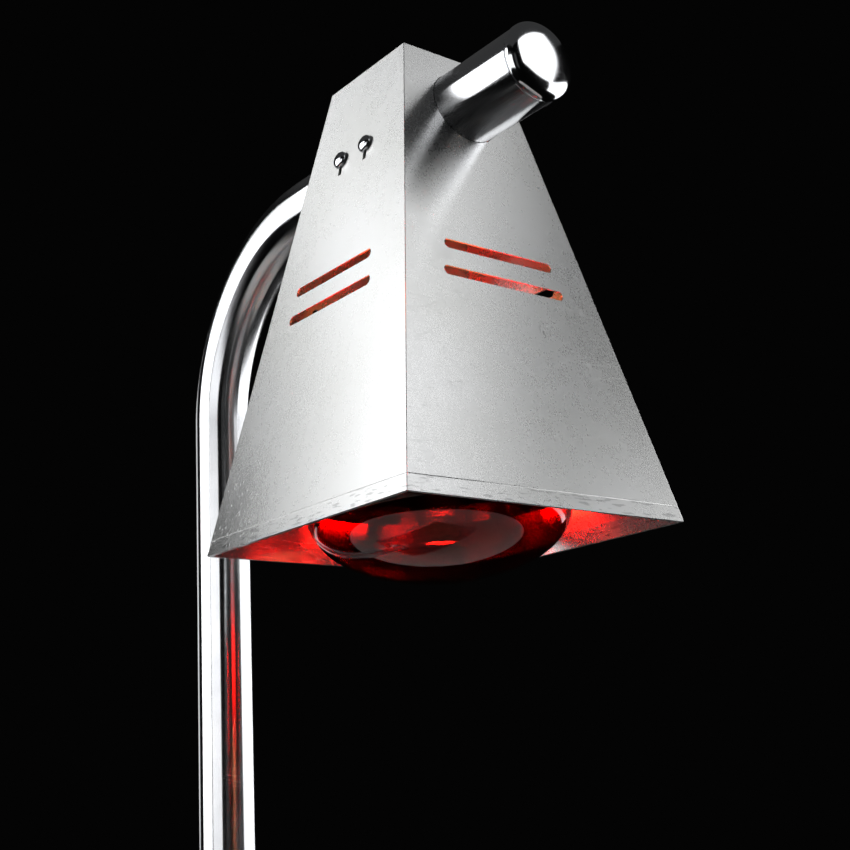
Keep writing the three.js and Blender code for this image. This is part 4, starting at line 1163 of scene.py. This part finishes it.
def make_stage():
    edge = [(0, -20), (458, -20), (460, -18), (460, -2.2), (458, -0.2), (0, -0.2)]
    floor = object_of(turned(edge, segments=160), "studio_floor")
    floor.data.materials.append(floor_material())
    world = bpy.data.worlds.new("studio")
    world.use_nodes = True
    world.node_tree.nodes["Background"].inputs["Color"].default_value = colour("#FFFFFF")
    world.node_tree.nodes["Background"].inputs["Strength"].default_value = 0.0012
    SCENE.world = world


HEART = Vector((0, -0.08, 0.54))


def area_light(name, place, facing, width, height, power, code="#FFFFFF"):
    """Soft rectangular light at a place, sized in metres. It shines along facing and isn't seen itself."""
    data = bpy.data.lights.new(name, "AREA")
    data.shape = "RECTANGLE"
    data.size, data.size_y = width, height
    data.energy = power
    data.color = colour(code)[:3]
    light = bpy.data.objects.new(name, data)
    SCENE.collection.objects.link(light)
    light.rotation_mode = "QUATERNION"
    light.location = place
    light.rotation_quaternion = (-Vector(facing)).to_track_quat("Z", "Y")
    light.visible_camera = False
    return light


def soft_light(name, azimuth, elevation, distance, width, height, bright):
    """Studio panel that faces the lamp. Azimuth 0 is in front of it, at -Y, and 90 is at +X."""
    a, e = rad(azimuth), rad(elevation)
    back = Vector((math.sin(a) * math.cos(e), -math.cos(a) * math.cos(e), math.sin(e)))
    power = bright * math.pi * width * height
    area_light(name, HEART + back * distance, -back, width, height, power)


def glow_panel(name, place, facing, width, height, power, code):
    """Small soft panel on the outside of the bulb, which rides with it and lights what it faces."""
    light = area_light(name, (SHADE + Vector(place)) * MM, facing, width * MM, height * MM, power, code)
    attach(light, "bulb")


def make_lights():
    # name, azimuth and elevation of its middle, distance, width, height, and how bright its face is
    for panel in (
        ("rear_left_key", -125.0, 11, 1.6, 1.41, 1.50, 2.8),
        ("left_front_panel", -78, 0.7, 1.6, 1.165, 0.95, 1.6),
        ("front_box", 22.0, 30, 1.6, 1.20, 0.85, 1.8),
        ("right_panel", 72.5, 1.0, 1.6, 2.1, 0.96, 2.1),
        ("rear_strip", 176, 2, 1.6, 0.55, 0.75, 0.9),
        ("front_fill", -33, 6, 1.8, 0.45, 0.90, 0.05),
        ("ceiling", 0, 90, 1.5, 3.4, 3.4, 0.04),
    ):
        soft_light(*panel)
    # What leaks from the bulb: red low down, through the ruby glass, and a little orange about its neck.
    leaks = (30, 64.5, 30, 0.15, "#FF1006"), (104, 27, 26, 0.004, "#FF8A4A")
    for level, radius, height, power, code in leaks:
        for quarter in range(4):
            way = Vector((math.cos(rad(90 * quarter)), math.sin(rad(90 * quarter)), 0))
            place = way * radius + Vector((0, 0, level))
            facing = way + Vector((0, 0, 0.15))
            glow_panel(f"glow_{level}_{quarter}", place, facing, 34, height, power, code)
    glow_panel("glow_onto_post", (0, 22, -22), (0, 1, -0.25), 44, 24, 0.022, "#FF1408")
    heart = bpy.data.lights.new("filament_glow", "POINT")
    heart.energy = 0.5
    heart.color = colour("#FFC48A")[:3]
    heart.shadow_soft_size = 0.008
    heart_light = bpy.data.objects.new("filament_glow", heart)
    SCENE.collection.objects.link(heart_light)
    heart_light.location = (SHADE + Vector((0, 0, 56))) * MM
    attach(heart_light, "bulb")


make_stage()
make_lights()
SCENE.view_settings.view_transform = "Standard"
